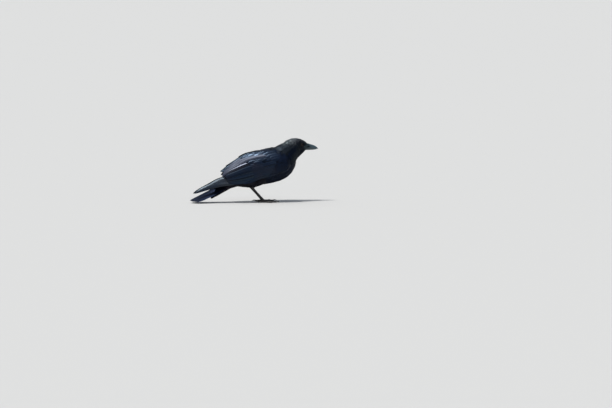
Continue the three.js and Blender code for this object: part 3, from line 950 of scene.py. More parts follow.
class Vanes:
    """Long feathers gathered into one mesh, each with its own strip of the unwrap."""

    def __init__(self):
        self.made = 0
        self.places, self.faces, self.vane, self.strip, self.tones = [], [], [], [], []

    def add(self, surface, low, high, rng, point=2.4, blunt=0.8, thick=0.34, crown=0.5, rings=40, splits=0):
        """surface(s, off) gives places and ways out, s from root to tip and off across it.

        low and high are the widths of the vane's two sides, thick its thickness and crown its arch, all in
        millimetres; it narrows from blunt on, the more bluntly the higher point is.
        """
        tone = rng.random()
        gaps = rng.uniform(0.45, 0.95, splits)
        beside_gaps = [gaps + d for d in (-0.008, 0, 0.002)]
        s = np.unique(np.concatenate([1 - np.linspace(1, 0, rings) ** 1.25] + beside_gaps))
        s = s[(s >= 0) & (s <= 1)]
        body = 0.3 + 0.7 * ramp(s, 0, 0.18)
        tip = np.sqrt(np.clip(1 - np.clip((s - blunt) / (1.001 - blunt), 0, 1) ** point, 0.0025, 1))
        split = 1 - sum(0.2 * np.exp(-(((s - g) / 0.002) ** 2)) for g in gaps)
        sides = np.where(ACROSS < 0, (low * body * tip * split)[:, None], (high * body * tip)[:, None])
        spots, outs = surface(np.repeat(s[:, None], len(ACROSS), 1), sides * MM * ACROSS)
        shaft = np.exp(-((ACROSS / 0.06) ** 2)) * 0.28 * (1 - 0.8 * s)[:, None]
        arch = crown * (1 - np.abs(ACROSS) ** 1.7) * (body * tip)[:, None] + shaft
        top = spots + outs * (arch * MM)[..., None]
        deep = thick * (0.25 + 0.75 * (1 - np.abs(ACROSS))) + shaft
        under = (top - outs * (deep * MM)[..., None])[:, -2:0:-1]
        ring = np.concatenate([top, under], axis=1)
        count = ring.shape[1]
        start = len(self.places)
        self.places += ring.reshape(-1, 3).tolist()
        self.tones += [tone] * (len(s) * count)
        c = np.concatenate([ACROSS, ACROSS[-2:0:-1]])
        faces = [
            [(k, r), (k + 1, r), (k + 1, r + 1), (k, r + 1)] for r in range(len(s) - 1) for k in range(count)
        ]
        faces += [[(k, 0) for k in reversed(range(count))], [(k, len(s) - 1) for k in range(count)]]
        for face in faces:
            self.faces.append(tuple(start + r * count + k % count for k, r in face))
            self.vane += [(0.5 + 0.5 * c[k % count], s[r]) for k, r in face]
            self.strip += [(self.made + 0.06 + 0.88 * k / count, 0.01 + 0.98 * s[r]) for k, r in face]
        self.made += 1

    def piece(self, name, finish):
        """All the feathers as one piece."""
        made = solid(name, self.places, self.faces, finish)
        mesh = made.data
        strips = np.array(self.strip) / (self.made, 1)
        for layer, values in (("Vane", np.array(self.vane)), ("OFBake", strips)):
            mesh.uv_layers.new(name=layer).data.foreach_set("uv", values.ravel())
        store(mesh, "tone", self.tones)
        face_outwards(mesh)
        sharp_edges(mesh, 60)
        return made


SECONDARIES = 8
# Each tertial's tip, by its share along and up the wing, and how proud it lies.
TERTIALS = [((0.985, 0.7), 0.2), ((0.95, 0.82), 0.7), ((0.87, 0.93), 1.2), ((0.735, 0.8), 1.9)]
# How far each primary reaches along the wing's point, from the outermost one in.
PRIMARIES = (0.93, 0.985, 1.0, 0.985, 0.95, 0.9, 0.84, 0.77, 0.69, 0.6)


def beside(stations, side, t, v, off, low, high):
    """Places off to one side of t and v on a folded wing, the ways out, its half thickness and their v."""
    tall = folded(stations, side, t, v)[2]
    v = np.clip(v + off / tall, low, high)
    spots, outs, _, half = folded(stations, side, t, v)
    return spots, outs, half, v


def lying(side, start, end, lift, sink=1.0, curl=0.0):
    """The surface of a feather on the folded wing; start and end are shares along and up the wing.

    lift is how proud its tip lies, sink how much deeper its root is, curl how far its tip stands off.
    """

    def surface(s, off):
        t = start[0] + (end[0] - start[0]) * s
        v = start[1] + (end[1] - start[1]) * s
        spots, outs, half, _ = beside(WING, side, t, v, off, -0.04, 1.03)
        height = half + (lift - sink * (1 - s) ** 2 + curl * s**4) * MM
        return spots + outs * height[..., None], outs

    return surface


def secondaries(side, rng):
    """The wing's inner flight feathers, each over the one below it."""
    vanes = Vanes()
    for i in range(SECONDARIES):
        f = i / (SECONDARIES - 1)
        start, end = (0.34 + 0.05 * f, 0.07 + 0.64 * f), (0.93 + 0.035 * f, 0.06 + 0.62 * f)
        surface = lying(side, start, end, -1.1 + 0.06 * i)
        vanes.add(surface, 6.5 + 1.5 * f, 11, rng, point=2.2, blunt=0.88, crown=0.6, splits=1)
    return vanes.piece(f"wing_{SIDE_NAMES[side]}_secondary_vanes", FLIGHT_FEATHER)


def tertials(vanes, side, rng):
    """The broad feathers over the folded secondaries."""
    for k, (end, lift) in enumerate(TERTIALS):
        start = (0.46, 0.66 + 0.1 * k) if k < 3 else (0.36, 0.83)
        surface = lying(side, start, end, lift, 1.6, -1.2)
        vanes.add(surface, 8.5, 9, rng, point=2.0, blunt=0.74, crown=1.6)


def point_stations(side):
    """The edges of a wing's point."""
    drop = LEFT_DROP / (len(HAND) - 1) if side > 0 else 0
    return [
        ((*lower[:2], lower[2] - drop * k), (*upper[:2], upper[2] - drop * k), bulge, thick)
        for k, (lower, upper, bulge, thick) in enumerate(HAND)
    ]


def primaries(side, rng):
    """The wing's point: the inner feathers are shorter and lie over the outer ones."""
    vanes = Vanes()
    stations = point_stations(side)
    for j, reach in enumerate(PRIMARIES):
        f = j / (len(PRIMARIES) - 1)
        v0, v1 = 0.1 + 0.78 * f, 0.24 + 0.5 * f
        layer = (f - 0.5) * 3.2 * MM

        def surface(s, off):
            t = 0.02 + (reach - 0.02) * s
            spots, outs, _, v = beside(stations, side, t, v0 + (v1 - v0) * s, off, -0.05, 1.06)
            tuck = 8.5 * MM * (1 - ramp(t, 0.26, 0.62)) * (0.55 + 0.45 * ramp(v, 0.1, 0.5))
            return spots + outs * (layer * (1 - 0.4 * t) - tuck)[..., None], outs

        vanes.add(surface, 3.6, 6.5, rng, point=1.9, blunt=0.72, crown=0.6, thick=0.3, splits=1)
    return vanes.piece(f"wing_{SIDE_NAMES[side]}_primary_vanes", POINT_FEATHER)


def tail_feathers(rng):
    """Twelve tail feathers: the middle pair lies on top and each next pair under it."""
    vanes = Vanes()
    for k in range(5, -1, -1):
        for side in (1, -1):
            o0, o1 = side * (0.05 + 0.12 * k), side * (0.07 + 0.168 * k)
            depth = (0.3 + 0.42 * k + 0.15 * (side < 0)) * MM

            def surface(s, off):
                _, _, half = tail_place(s, o0 + (o1 - o0) * s)
                spots, outs, _ = tail_place(s, o0 + (o1 - o0) * s - side * off / half)
                return spots + outs * (1.6 * MM - depth), outs

            vanes.add(surface, 5.2, 8.5, rng, point=2.6, blunt=0.87, splits=2)
    return vanes.piece("tail_vanes", TAIL_FEATHER)


# ---------------------------------------------------------------- coverts, shoulders and rump


def coverts(vanes, side, rng):
    """The wing's greater coverts, the median ones over them, and the primary coverts and alula below."""
    # For each row: number, start and end along the wing, the highest one's further end, half width and lift.
    rows = [(11, 0.36, 0.555, 0.05, 5.6, -0.1), (12, 0.29, 0.415, 0.03, 6.2, 0.3)]
    for count, first, last, further, half, lift in rows:
        for i in range(count):
            f = i / (count - 1)
            v = 0.06 + 0.66 * f + rng.normal(0, 0.006)
            end = last + further * f + rng.normal(0, 0.006)
            surface = lying(side, (first, v), (end, v - 0.02), lift + 0.06 * i, 1.0, 0.05)
            wide = half * rng.uniform(0.95, 1.08)
            vanes.add(surface, wide, wide * 1.2, rng, point=2.3, blunt=0.7, crown=0.75, thick=0.25, rings=16)
    for k in range(7):
        start, end = (0.36 + 0.014 * k, 0.1 - 0.012 * k), (0.56 + 0.02 * k, 0.07 - 0.014 * k)
        primary_covert = lying(side, start, end, -0.5 - 0.1 * k)
        vanes.add(primary_covert, 3.4, 4.5, rng, blunt=0.75, crown=0.5, thick=0.25, rings=16)
    for k in range(3):
        start, end = (0.2 + 0.02 * k, 0.11 - 0.03 * k), (0.35 + 0.04 * k, 0.1 - 0.03 * k)
        alula = lying(side, start, end, 0.1 - 0.2 * k)
        vanes.add(alula, 4, 5, rng, blunt=0.7, crown=0.6, thick=0.25, rings=16)


SCAPULAR_ROWS = 6


def scapulars(vanes, side, rng):
    """Shoulder feathers over the wing's root and upper edge, in rows that grow longer towards the rear."""
    for row in range(SCAPULAR_ROWS):
        f = row / (SCAPULAR_ROWS - 1)
        for k in range(4):
            v = 0.66 + 0.1 * k + 0.05 * (row % 2) + rng.normal(0, 0.01)
            end = 0.34 + 0.28 * f + 0.02 * k + rng.normal(0, 0.008)
            start = end - 0.13 - 0.08 * f
            surface = lying(side, (start, v + 0.01), (end, v - 0.03), 0.4 + 0.5 * f + 0.12 * k, 1.8, 0.4)
            wide = (7.5 + 2.5 * f) * rng.uniform(0.95, 1.08)
            vanes.add(surface, wide, wide, rng, point=2.3, blunt=0.66, crown=1.1, thick=0.26, rings=18)


def middle_line(stations):
    """Places along the middle of the back and how far it reaches to each side, from ahead, up and reach."""
    ahead, up, reach = np.array(stations).T
    return at(ahead, 0, up), reach[:, None] * MM


# The line of the rump between the wings: ahead, up and half its width.
RUMP = [(-78, 125, 9), (-100, 115, 9.5), (-125, 99, 10), (-150, 73, 12), (-174, 53, 15)]
RUMP_ROWS = 7


def rump(vanes, rng):
    """The rump and uppertail coverts, in rows that lead down between the wings onto the tail."""
    line, reach = middle_line(RUMP)
    for row in range(RUMP_ROWS):
        for k in range(7):
            place = (k - 3 + 0.5 * (row % 2)) / 2.6 + rng.normal(0, 0.06)
            t0 = 0.02 + 0.52 * (1 - row / (RUMP_ROWS - 1)) + rng.normal(0, 0.02)
            t1 = t0 + 0.4 + rng.normal(0, 0.02)
            lift = (0.2 + 0.3 * row - 0.8 * abs(place)) * MM

            def surface(s, off):
                t = t0 + (t1 - t0) * s
                half = spline(reach, t)[..., 0]
                x = half * place * (0.8 + 0.25 * s) + off
                share = np.clip(x / half, -1.6, 1.6)
                spots = spline(line, t) + np.stack([x, 0 * x, -0.45 * half * share**2], axis=-1)
                outs = unit(np.stack([0.75 * share, 0 * x + 0.35, 0 * x + 0.9], axis=-1))
                return spots + outs * (lift + 0.5 * MM * s**3)[..., None], outs

            vanes.add(surface, 6.5, 6.5, rng, point=2.0, blunt=0.5, crown=0.9, thick=0.26, rings=16)


# The line where the folded wings meet over the back: ahead, up and each wing's distance from the middle.
RIDGE = [
    (22, 173, 30), (-10, 171, 24), (-26, 169, 18), (-62, 159.5, 9), (-97, 138.5, 5.5), (-124, 120, 4.6),
    (-149, 100, 5),
]
RIDGE_FEATHERS = 9
STANDING = (2, 6)  # the left ones whose tips stand up above the back's outline


def ridge(vanes, side, rng):
    """Long shoulder feathers that close the gap between the two wings' upper edges."""
    line, reach = middle_line(RIDGE)
    for k in range(RIDGE_FEATHERS):
        f = k / (RIDGE_FEATHERS - 1)
        t0, t1 = 0.52 * (1 - f) + 0.02, 0.97 - 0.5 * f
        start, end = (0.25 + 0.5 * f) * side, (0.5 + 0.3 * f) * side
        lift = (0.3 + 0.3 * k + 0.9 * (side > 0)) * MM
        curl = (3.2 if k in STANDING and side > 0 else 0.6) * MM

        def surface(s, off):
            t = t0 + (t1 - t0) * s
            half = spline(reach, t)[..., 0]
            x = half * (start + (end - start) * s) + off * side
            over = np.maximum(np.abs(x) - half + 2.5 * MM, 0)
            fall = 1.9 * over**2 / (over + 3 * MM) + 0.12 * np.abs(x)
            spots = spline(line, t) + np.stack([x, 0 * x, -fall], axis=-1)
            lean = (0.25 + 0.6 * ramp(over, 0, 6 * MM)) * np.sign(x) * ramp(np.abs(x), 0, 4 * MM)
            outs = unit(np.stack([lean, 0 * x, np.sqrt(1 - lean**2)], axis=-1))
            return spots + outs * (lift + curl * s**3)[..., None], outs

        vanes.add(surface, 7.5, 7.5, rng, point=1.7, blunt=0.5, crown=0.9, thick=0.28)


# ---------------------------------------------------------------- body coat


def round_eye(place):
    """A place's distance from the nearer eye's axis, in metres."""
    side = 1 if place[0] > 0 else -1
    off = place - eye_centre(side)
    axis = eye_axis(side)
    return np.linalg.norm(off - axis * np.dot(off, axis))


# The shape and the finish of each kind of feather in the coat.
KINDS = {
    "face": (FINE, HEAD_FEATHER), "neck": (HACKLE, HEAD_FEATHER),
    "crown": (FINE, CROWN_FEATHER), "nape": (HACKLE, NAPE_FEATHER),
    "back": (CONTOUR, BODY_FEATHER), "wings": (CONTOUR, BODY_FEATHER),
    "breast": (LOOSE, BODY_FEATHER), "belly": (LOOSE, SOFT_FEATHER),
}
# How far round from the top the glossy cap of crown and nape reaches, by how far along the spine it is; its
# feathers are glossier and also paler, and the paleness is painted sheen.
CAP = ([8, 28, 38, 46, 55, 64, 73, 82], [0.45, 0.6, 0.8, 1.05, 0.9, 0.6, 0.2, -0.5])
LID_REACH = 4.9  # no feather grows this near an eye's axis, in millimetres
HIDDEN_START = -35  # behind this the body's feathers grow only where no wing covers them
TUCKED_START = 25  # and behind this only where their tips clear it too
LESSER_END = 27  # the wing's small scattered coverts end this far ahead of the feet, in millimetres


def body_coat(rng):
    """Roots over head, neck, trunk and thighs, each kind of feather in its own list."""
    coats = {kind: Roots() for kind in KINDS}

    def apart(places):
        nearest, turn = along_body(places)
        return body_table(APART, SPINE_GONE[nearest], turn) * MM

    places, outs = scattered(form.data, TRIALS, apart, rng)
    nearest, turn = along_body(places)
    gone = SPINE_GONE[nearest]
    lengths = body_table(LENGTH, gone, turn)
    ways = SPINE_WAYS[nearest]
    for place, out, way, g, round_, length in zip(places, outs, ways, gone, turn, lengths):
        whose = owner(place)
        on_wing = whose.startswith("wing")
        if round_eye(place) < LID_REACH * MM:
            continue
        if on_wing and (out[0] * place[0] < -0.1 * abs(place[0]) or ahead_of(place) < LESSER_END):
            continue
        tip = place + (way - out * np.dot(way, out)) * length * MM
        hidden = ahead_of(place) < HIDDEN_START and under_wing(place)
        if not on_wing and (hidden or ahead_of(tip) < TUCKED_START and under_wing(tip)):
            continue
        stray = rng.normal(0, 0.12, 3)
        tone = rng.random()
        shape = rng.integers(VARIANTS)
        length = length * rng.uniform(0.88, 1.12)
        spot = (0.02 + 0.95 * g / SPINE_GONE[-1], 0.02 + 0.95 * (round_ / math.tau + 0.5))
        g += rng.normal(0, 5)
        if on_wing:
            length = np.interp(ahead_of(place), [LESSER_END, 50, 85], [21, 17, 10]) * rng.uniform(0.9, 1.1)
        depth = coat_rise(length)
        # The coat is fuller at the crown and where the neck runs into the back.
        raised = 1.8 * math.exp(-(((g - 112) / 24) ** 2)) + 1.5 * math.exp(-(((g - 12) / 11) ** 2))
        proud = rng.normal(0, 0.05) * depth + (0.3 if on_wing else raised * max(0, math.cos(round_)) ** 2)
        kind, lie, width = "belly", way + stray, length * 0.6
        if on_wing:
            kind, lie = "wings", way + np.array([0, 0, -0.1]) + stray * 0.6
            width, depth = length * 0.62, 1.2
        elif whose.startswith("thigh"):
            lie = np.array([0, 0.45, -0.9]) + stray
            width, length, depth = 8, 15 * rng.uniform(0.85, 1.1), 1.6
        elif g < (118 if abs(round_) < 1.5 else 52 if abs(round_) < 2.1 else 96):
            on_top = abs(round_) < rng.normal(np.interp(g, *CAP), 0.2)
            velvety = g < 30 or g < 52 and abs(round_) < 2.1
            kind = ("crown" if on_top else "face") if velvety else "nape" if on_top else "neck"
            width = length * 0.5
        elif abs(round_) < 1.15:
            kind, lie, width = "back", way + stray * 0.7, length * 0.56
        elif g < 165:
            kind = "breast"
        coats[kind].add(place, lie, out, width, length, depth, proud, shape, tone, spot)
    return coats


for key, roots in body_coat(np.random.default_rng(SEED)).items():
    place_piece(grow(f"coat_{key}", roots, *KINDS[key], form), "plumage")

# ---------------------------------------------------------------- bill

UPPER_BILL = 48.5  # its length, in millimetres


def bill_half(name, is_upper, finish):
    """Half of the bill, from its face end to its tip, with a sharp cutting edge.

    The upper half is ridged along its culmen; the lower one has a rounded chin.
    """
    rings, around = 64, 40
    length = UPPER_BILL if is_upper else UPPER_BILL - 4
    t = 1 - np.linspace(1, 0, rings) ** 1.5
    reach = t * length / UPPER_BILL
    edge = 179.5 - 1.2 * reach - 2.4 * reach**4
    wide = (8.4 * (1 - t) ** 0.62 * (1 - 0.12 * t) + 0.35) * (1 if is_upper else 0.86)
    culmen = 176.6 + 19 * np.sqrt(np.clip(1 - t**1.9, 0, 1)) - 2.2 * t
    chin = 172.6 + 0.6 * t + 2.4 * t**5
    flat = edge + (0.12 if is_upper else -0.12)
    tall = np.maximum(0.9, culmen - flat) if is_upper else np.minimum(-0.8, chin - flat)
    round_end = np.sqrt(np.clip(1 - np.clip((t - 0.955) / 0.0455, 0, 1) ** 2, 0.03, 1))
    wide, tall = wide * round_end, tall * round_end
    angle = np.linspace(0, np.pi, around)
    x = np.sign(np.cos(angle)) * np.abs(np.cos(angle)) ** (1.12 if is_upper else 0.95)
    z = np.sin(angle) ** 0.85
    outer = np.stack([x[None] * wide[:, None], flat[:, None] + z[None] * tall[:, None]], axis=-1)
    inner_x = np.linspace(-0.86, 0.86, 9)
    hollow = 0.5 * np.minimum(1, np.abs(tall) / 4)[:, None] * (1 - (inner_x / 0.9) ** 2)
    roof = flat[:, None] + np.sign(tall)[:, None] * hollow
    inner = np.stack([inner_x[None] * wide[:, None], roof], axis=-1)
    ring = np.concatenate([outer, inner], axis=1)
    count = ring.shape[1]
    places = at(139 + length * t[:, None], ring[..., 0], ring[..., 1]).reshape(-1, 3)
    made = solid(name, places, capped(rings, count, outward=False), finish)
    face_outwards(made.data)
    sharp_edges(made.data, 50)
    return made


def merged_guide(name, pieces):
    """One mesh of several pieces' surfaces, with the way out at each point, to lay feathers on."""
    work = bmesh.new()
    for piece in pieces:
        work.from_mesh(piece.data)
    mesh = bpy.data.meshes.new(name)
    work.to_mesh(mesh)
    work.free()
    mesh.attributes.remove(mesh.attributes["out"])
    store(mesh, "out", vertex_normals(mesh))
    return shown(name, mesh)


def bristles(rng):
    """Bristles that grow forward over the bill's base and its nostrils, and shorter ones under the chin."""
    coats = {"bristles": Roots(), "lores": Roots()}
    over = [(ahead, turn) for ahead in np.arange(139.5, 151, 1.5) for turn in np.arange(4, 112, 9.5)]
    under = [(ahead, turn) for ahead in np.arange(132, 142, 1.6) for turn in np.arange(148, 180, 8)]
    for side in SIDES.values():
        for ahead, turn in over + under:
            below = turn > 112
            a = math.radians(turn + rng.uniform(-6, 6))
            centre = at(ahead + rng.uniform(-2.6, 0.8), 0, 184)
            way = Vector((side * math.sin(a), 0, math.cos(a)))
            hit, normal, _, _ = form_tree.ray_cast(Vector(centre), way, 30 * MM)
            if hit is None:
                continue
            lie = np.array([side * 0.12, -1.0, 0.1 if below else -0.2]) + rng.normal(0, 0.1, 3)
            length = rng.uniform(7, 9) if below else rng.uniform(9, 15) * (1 - 0.3 * (ahead > 147))
            spot = (0.1 + 0.8 * (ahead - 130) / 22, 0.5 + 0.45 * side * turn / 180)
            proud = 0.5 + 0.7 * max(0, math.cos(a)) ** 2
            shape = rng.integers(VARIANTS)
            # The hindmost ones are as dark as the face, so that the two run into each other; the rest take
            # the bristles' teal, a painted reflection of the sky.
            dark = below or rng.random() > (ahead - 138.5) / 5
            coat = coats["lores" if dark else "bristles"]
            coat.add(hit, lie, np.array(normal), 4.4, length, proud + 0.3, proud, shape, rng.random(), spot)
    return coats


def horn_finish():
    """Bill: near-black horn, glossier towards the tip, its colour lightened to slate blue by a painted
    reflection of the sky that is strongest there, with faint growth lines.
    """
    material, tree, surface = shader("bill horn", IOR=1.55, Specular_IOR_Level=0.5)
    spot = own_place(tree)
    along = add(tree, "ShaderNodeSeparateXYZ", {0: spot}).outputs[1]
    # tip grows towards the bill's end, where the painted slate reflection is lightest.
    tip = spread(tree, along, float(at(150, 0, 0)[1]), float(at(186, 0, 0)[1]))
    mixed = maths(tree, "MULTIPLY_ADD", speckle(tree, spot, 220.0, 4.0), 0.45, tip)
    colour = colour_steps(tree, mixed, [(0.2, (0.025, 0.042, 0.052)), (1.25, (0.056, 0.088, 0.108))])
    stretched = add(tree, "ShaderNodeMapping", {"Vector": spot, "Scale": (900, 120, 900)}).outputs[0]
    lines = speckle(tree, stretched, 1.0, 3.0)
    dress(tree, surface, colour, spread(tree, mixed, 0.0, 1.3, 0.4, 0.26), lines, 0.25, 0.2 * MM)
    return material


# ---------------------------------------------------------------- eyes


def eyeball(side):
    """An eyeball whose clear front stands out a little along its axis."""
    turns, rows, bulge = 64, 40, 0.03
    centre, axis, radius = eye_centre(side), eye_axis(side), EYE["radius"] * MM
    places = []
    aside = unit(np.cross(axis, [0, 0, 1.0]))
    over = np.cross(aside, axis)
    for r in range(1, rows):
        polar = math.pi * r / rows
        reach = radius * (1 + bulge * math.exp(-((polar / 0.6) ** 2)))
        for k in range(turns):
            a = math.tau * k / turns
            way = axis * math.cos(polar) + (aside * math.cos(a) + over * math.sin(a)) * math.sin(polar)
            places.append(centre + way * reach)
    places += [centre + axis * radius * (1 + bulge), centre - axis * radius]
    faces = tube(rows - 1, turns)
    front, back, last = len(places) - 2, len(places) - 1, (rows - 2) * turns
    for k in range(turns):
        n = (k + 1) % turns
        faces += [(front, n, k), (back, last + k, last + n)]
    made = solid(f"eyeball_{SIDE_NAMES[side]}", places, faces, eye_finish(side))
    face_outwards(made.data)
    return made


def eye_finish(side):
    """A dark brown iris round a black pupil, under a wet, clear surface."""
    material, tree, surface = shader(
        f"eye {SIDE_NAMES[side]}", Roughness=0.25, Specular_IOR_Level=0.08,
        Coat_Weight=0.28, Coat_Roughness=0.06,
    )
    front = eye_centre(side) + eye_axis(side) * EYE["radius"] * MM
    spot = own_place(tree)
    off = vectors(tree, "SUBTRACT", spot, tuple(front))
    far = add(tree, "ShaderNodeVectorMath", {0: off}, operation="LENGTH").outputs["Value"]
    place = maths(tree, "MULTIPLY_ADD", speckle(tree, spot, 900.0, 3.0), 0.6 * MM, far)
    brown, dark, black = (0.016, 0.009, 0.006), (0.007, 0.004, 0.003), (0.001, 0.001, 0.001)
    steps = [(0.0, black), (0.43, black), (0.48, dark), (0.6, brown), (0.78, dark), (0.86, black)]
    colour = colour_steps(tree, spread(tree, place, 0.0, 6 * MM), steps)
    tree.links.new(colour, surface.inputs["Base Color"])
    return material


# ---------------------------------------------------------------- legs

HEEL = (-39, 21, 53)
BALL = (1, 25, 5.2)
# The shin's centre ahead and up, its reach in front, behind and to each side.
SHANK = [
    (-42.4, 53.4, 1.4, 1.6, 1.4), (-40.6, 51.4, 3.3, 3.5, 2.9), (-37.5, 47.8, 3.8, 3.9, 3.2),
    (-33, 42.5, 3.2, 3.2, 2.4), (-20, 28, 2.9, 2.9, 2.1), (-8, 14.6, 3.1, 3.1, 2.4),
    (-3, 9.2, 3.3, 3.3, 2.9), (0.5, 5.6, 2.5, 2.5, 2.4), (2.5, 3.8, 1.4, 1.4, 1.4),
]
# Each toe's turn from straight ahead, length, claw length, thickness and number of pads.
TOES = {
    "hind": (176, 20, 15, 3.2, 2), "inner": (-27, 27, 12, 2.9, 3),
    "middle": (4, 38, 13, 3.1, 3), "outer": (33, 28, 11, 2.8, 4),
}
SCUTE = 2.9  # one plate's length along a toe
UP = np.array([0, 0, 1.0])


def lofted(centres, radii, over, rings, around=28, scutes=0, rise=0.0, pads=0):
    """A round tapering body along a line with overlapping plates over its upper side and pads under it."""
    t = np.linspace(0, 1, rings)
    line = spline(np.array(centres), t)
    radius = spline(np.array(radii), t)
    along = unit(np.gradient(line, axis=0))
    across = unit(np.cross(along, over))
    up = np.cross(across, along)
    angle = np.linspace(0, math.tau, around, endpoint=False)
    c, s = np.cos(angle), np.sin(angle)
    plate = (t * scutes) % 1
    step = (plate * 0.8 + 0.2 * (1 - np.abs(2 * plate - 1))) if scutes else t * 0
    front = np.clip(s, 0, 1) ** 0.7
    bulge = 1 + rise * step[:, None] * front[None]
    if pads:
        bulge = bulge + 0.13 * np.abs(np.sin(np.pi * t * pads))[:, None] * np.clip(-s, 0, 1)[None]
    near_end = np.clip(np.maximum(t - 0.97, 0.03 - t) / 0.031, 0, 1)
    ends = np.sqrt(np.clip(1 - near_end**2, 0.04, 1))[:, None, None]
    wide = (radius[:, None, 0] * c[None] * bulge)[..., None] * across[:, None]
    tall = np.where(s > 0, radius[:, None, 1], radius[:, None, 2]) * s[None] * bulge
    high = tall[..., None] * up[:, None]
    ring = line[:, None] + (wide + high) * ends
    return ring.reshape(-1, 3).tolist(), capped(rings, around, outward=False)


def toe_point(toe, side, distance, up):
    """A place along a toe, by its distance from the ball of the foot and its height."""
    turn = math.radians(TOES[toe][0])
    return at(BALL[0] + math.cos(turn) * distance, side * (BALL[1] + math.sin(turn) * distance), up)


def gathered(name, parts, finish, floor=None):
    """Several closed shapes in one mesh, flattened where they meet the floor."""
    places, faces, _ = joined(parts)
    if floor is not None:
        places = [(x, y, max(z, floor)) for x, y, z in places]
    made = solid(name, places, faces, finish)
    face_outwards(made.data)
    return made


def shin(side, finish):
    """The bare lower leg, from the heel down to the ball of the foot, plated in front."""
    centres, radii = [], []
    for ahead, up, front, behind, half in SHANK:
        down = (HEEL[2] - up) / (HEEL[2] - BALL[2])
        centres.append(at(ahead, side * (HEEL[1] + (BALL[1] - HEEL[1]) * down), up))
        radii.append(np.array([half, front, behind]) * MM)
    body = lofted(centres, radii, np.array([0, -1.0, 0.4]), scutes=11, rise=0.1, rings=160, around=32)
    return gathered(f"shin_{SIDE_NAMES[side]}", [body], finish)


def toes(side, finish):
    """Four padded toes and the knuckle that they spring from."""
    parts = []
    for toe, (_, length, _, thick, pads) in TOES.items():
        low = thick * 0.86
        centres = [toe_point(toe, side, length * s, low + 1.2 * (1 - s) ** 3) for s in (0, 0.3, 0.55, 0.8, 1)]
        radii = [np.array([1, 1, 1]) * share * thick * MM for share in (1.1, 0.92, 0.98, 0.84, 0.78)]
        scutes = round(length / SCUTE)
        parts.append(lofted(centres, radii, UP, scutes=scutes, rise=0.13, rings=110, pads=pads))
    knuckle = [at(BALL[0] + a, side * BALL[1], 4.6) for a in (-4.4, -3.2, 0, 3.2, 4.4)]
    halves = ((0.4, 0.4), (3.1, 2.6), (4.3, 3.4), (3.1, 2.6), (0.4, 0.4))
    radii = [np.array([w, h, 4.6]) * MM for w, h in halves]
    parts.append(lofted(knuckle, radii, UP, rings=30))
    return gathered(f"toes_{SIDE_NAMES[side]}", parts, finish, floor=0.0)


def claw(toe, side, finish):
    """A curved claw that rests on its toe's end and on the floor."""
    _, length, reach, thick, _ = TOES[toe]
    base = thick * 0.86
    line = [
        (-1.0, base), (reach * 0.22, base + 1.5), (reach * 0.5, base + 1.9), (reach * 0.78, base + 0.5),
        (reach, 0.7),
    ]
    centres = [toe_point(toe, side, length + d, up) for d, up in line]
    halves = ((1.5, 1.7), (1.4, 1.75), (1.1, 1.4), (0.7, 0.9), (0.12, 0.16))
    radii = [np.array([w, h, h]) * MM for w, h in halves]
    body = lofted(centres, radii, UP, rings=40, around=20)
    return gathered(f"claw_{SIDE_NAMES[side]}_{toe}_horn", [body], finish, floor=0.0)


def scale_finish():
    """Legs: dull black plates, dustier in their creases."""
    material, tree, surface = shader("leg scale", IOR=1.5, Specular_IOR_Level=0.45)
    spot = own_place(tree)
    cells = add(tree, "ShaderNodeTexVoronoi", {"Vector": spot, "Scale": 750.0}).outputs["Distance"]
    worn = maths(tree, "MULTIPLY_ADD", cells, 0.4, speckle(tree, spot, 400.0, 4.0))
    colour = colour_steps(tree, worn, [(0.35, (0.0065, 0.006, 0.006)), (0.95, (0.026, 0.024, 0.023))])
    dress(tree, surface, colour, spread(tree, worn, 0.0, 1.0, 0.38, 0.6), cells, 0.35, 0.3 * MM)
    return material


def claw_finish():
    """Claws: polished black horn, a little browner where it is worn."""
    material, tree, surface = shader("claw horn", IOR=1.55, Specular_IOR_Level=0.55)
    noise = speckle(tree, own_place(tree), 500.0, 3.0)
    colour = colour_steps(tree, noise, [(0.3, (0.006, 0.0055, 0.0055)), (0.75, (0.02, 0.017, 0.015))])
    dress(tree, surface, colour, spread(tree, noise, 0.0, 1.0, 0.22, 0.4), noise, 0.15, 0.2 * MM)
    return material


# ---------------------------------------------------------------- camera, light and floor


def compass(azimuth, elevation):
    """The way to a place seen at an azimuth from straight ahead of the bird, and at a height."""
    a, e = math.radians(azimuth), math.radians(elevation)
    return Vector((math.sin(a) * math.cos(e), -math.cos(a) * math.cos(e), math.sin(e)))


def aim_camera():
    """The bird from its right side and a little behind, with the framing of a long lens."""
    lens, sensor, frame_width = 300, 36, 2.05
    back = compass(260, 5)
    right = Vector((0, 0, 1)).cross(back).normalized()
    above = back.cross(right)
    aside, lower = 0.144, 0.0067  # where the picture's middle lies from the feet
    target = Vector(at(0, 0, 0)) + right * aside - above * lower
    camera = shown("camera", bpy.data.cameras.new("camera"))
    camera.data.lens = lens
    camera.data.sensor_width = sensor
    camera.data.clip_end = 200
    camera.location = target + back * (frame_width * lens / sensor)
    camera.rotation_mode = "QUATERNION"
    camera.rotation_quaternion = (-back).to_track_quat("-Z", "Y")
    bpy.context.scene.camera = camera


def sun(name, azimuth, elevation, wide, strength, colour):
    """A far, soft lamp that lights the whole floor alike."""
    lamp = shown(name, bpy.data.lights.new(name, "SUN"))
    lamp.data.angle = math.radians(wide)
    lamp.data.energy = strength
    lamp.data.color = colour
    lamp.rotation_mode = "QUATERNION"
    lamp.rotation_quaternion = compass(azimuth, elevation).to_track_quat("Z", "Y")


PALE = (0.744, 0.752, 0.75)


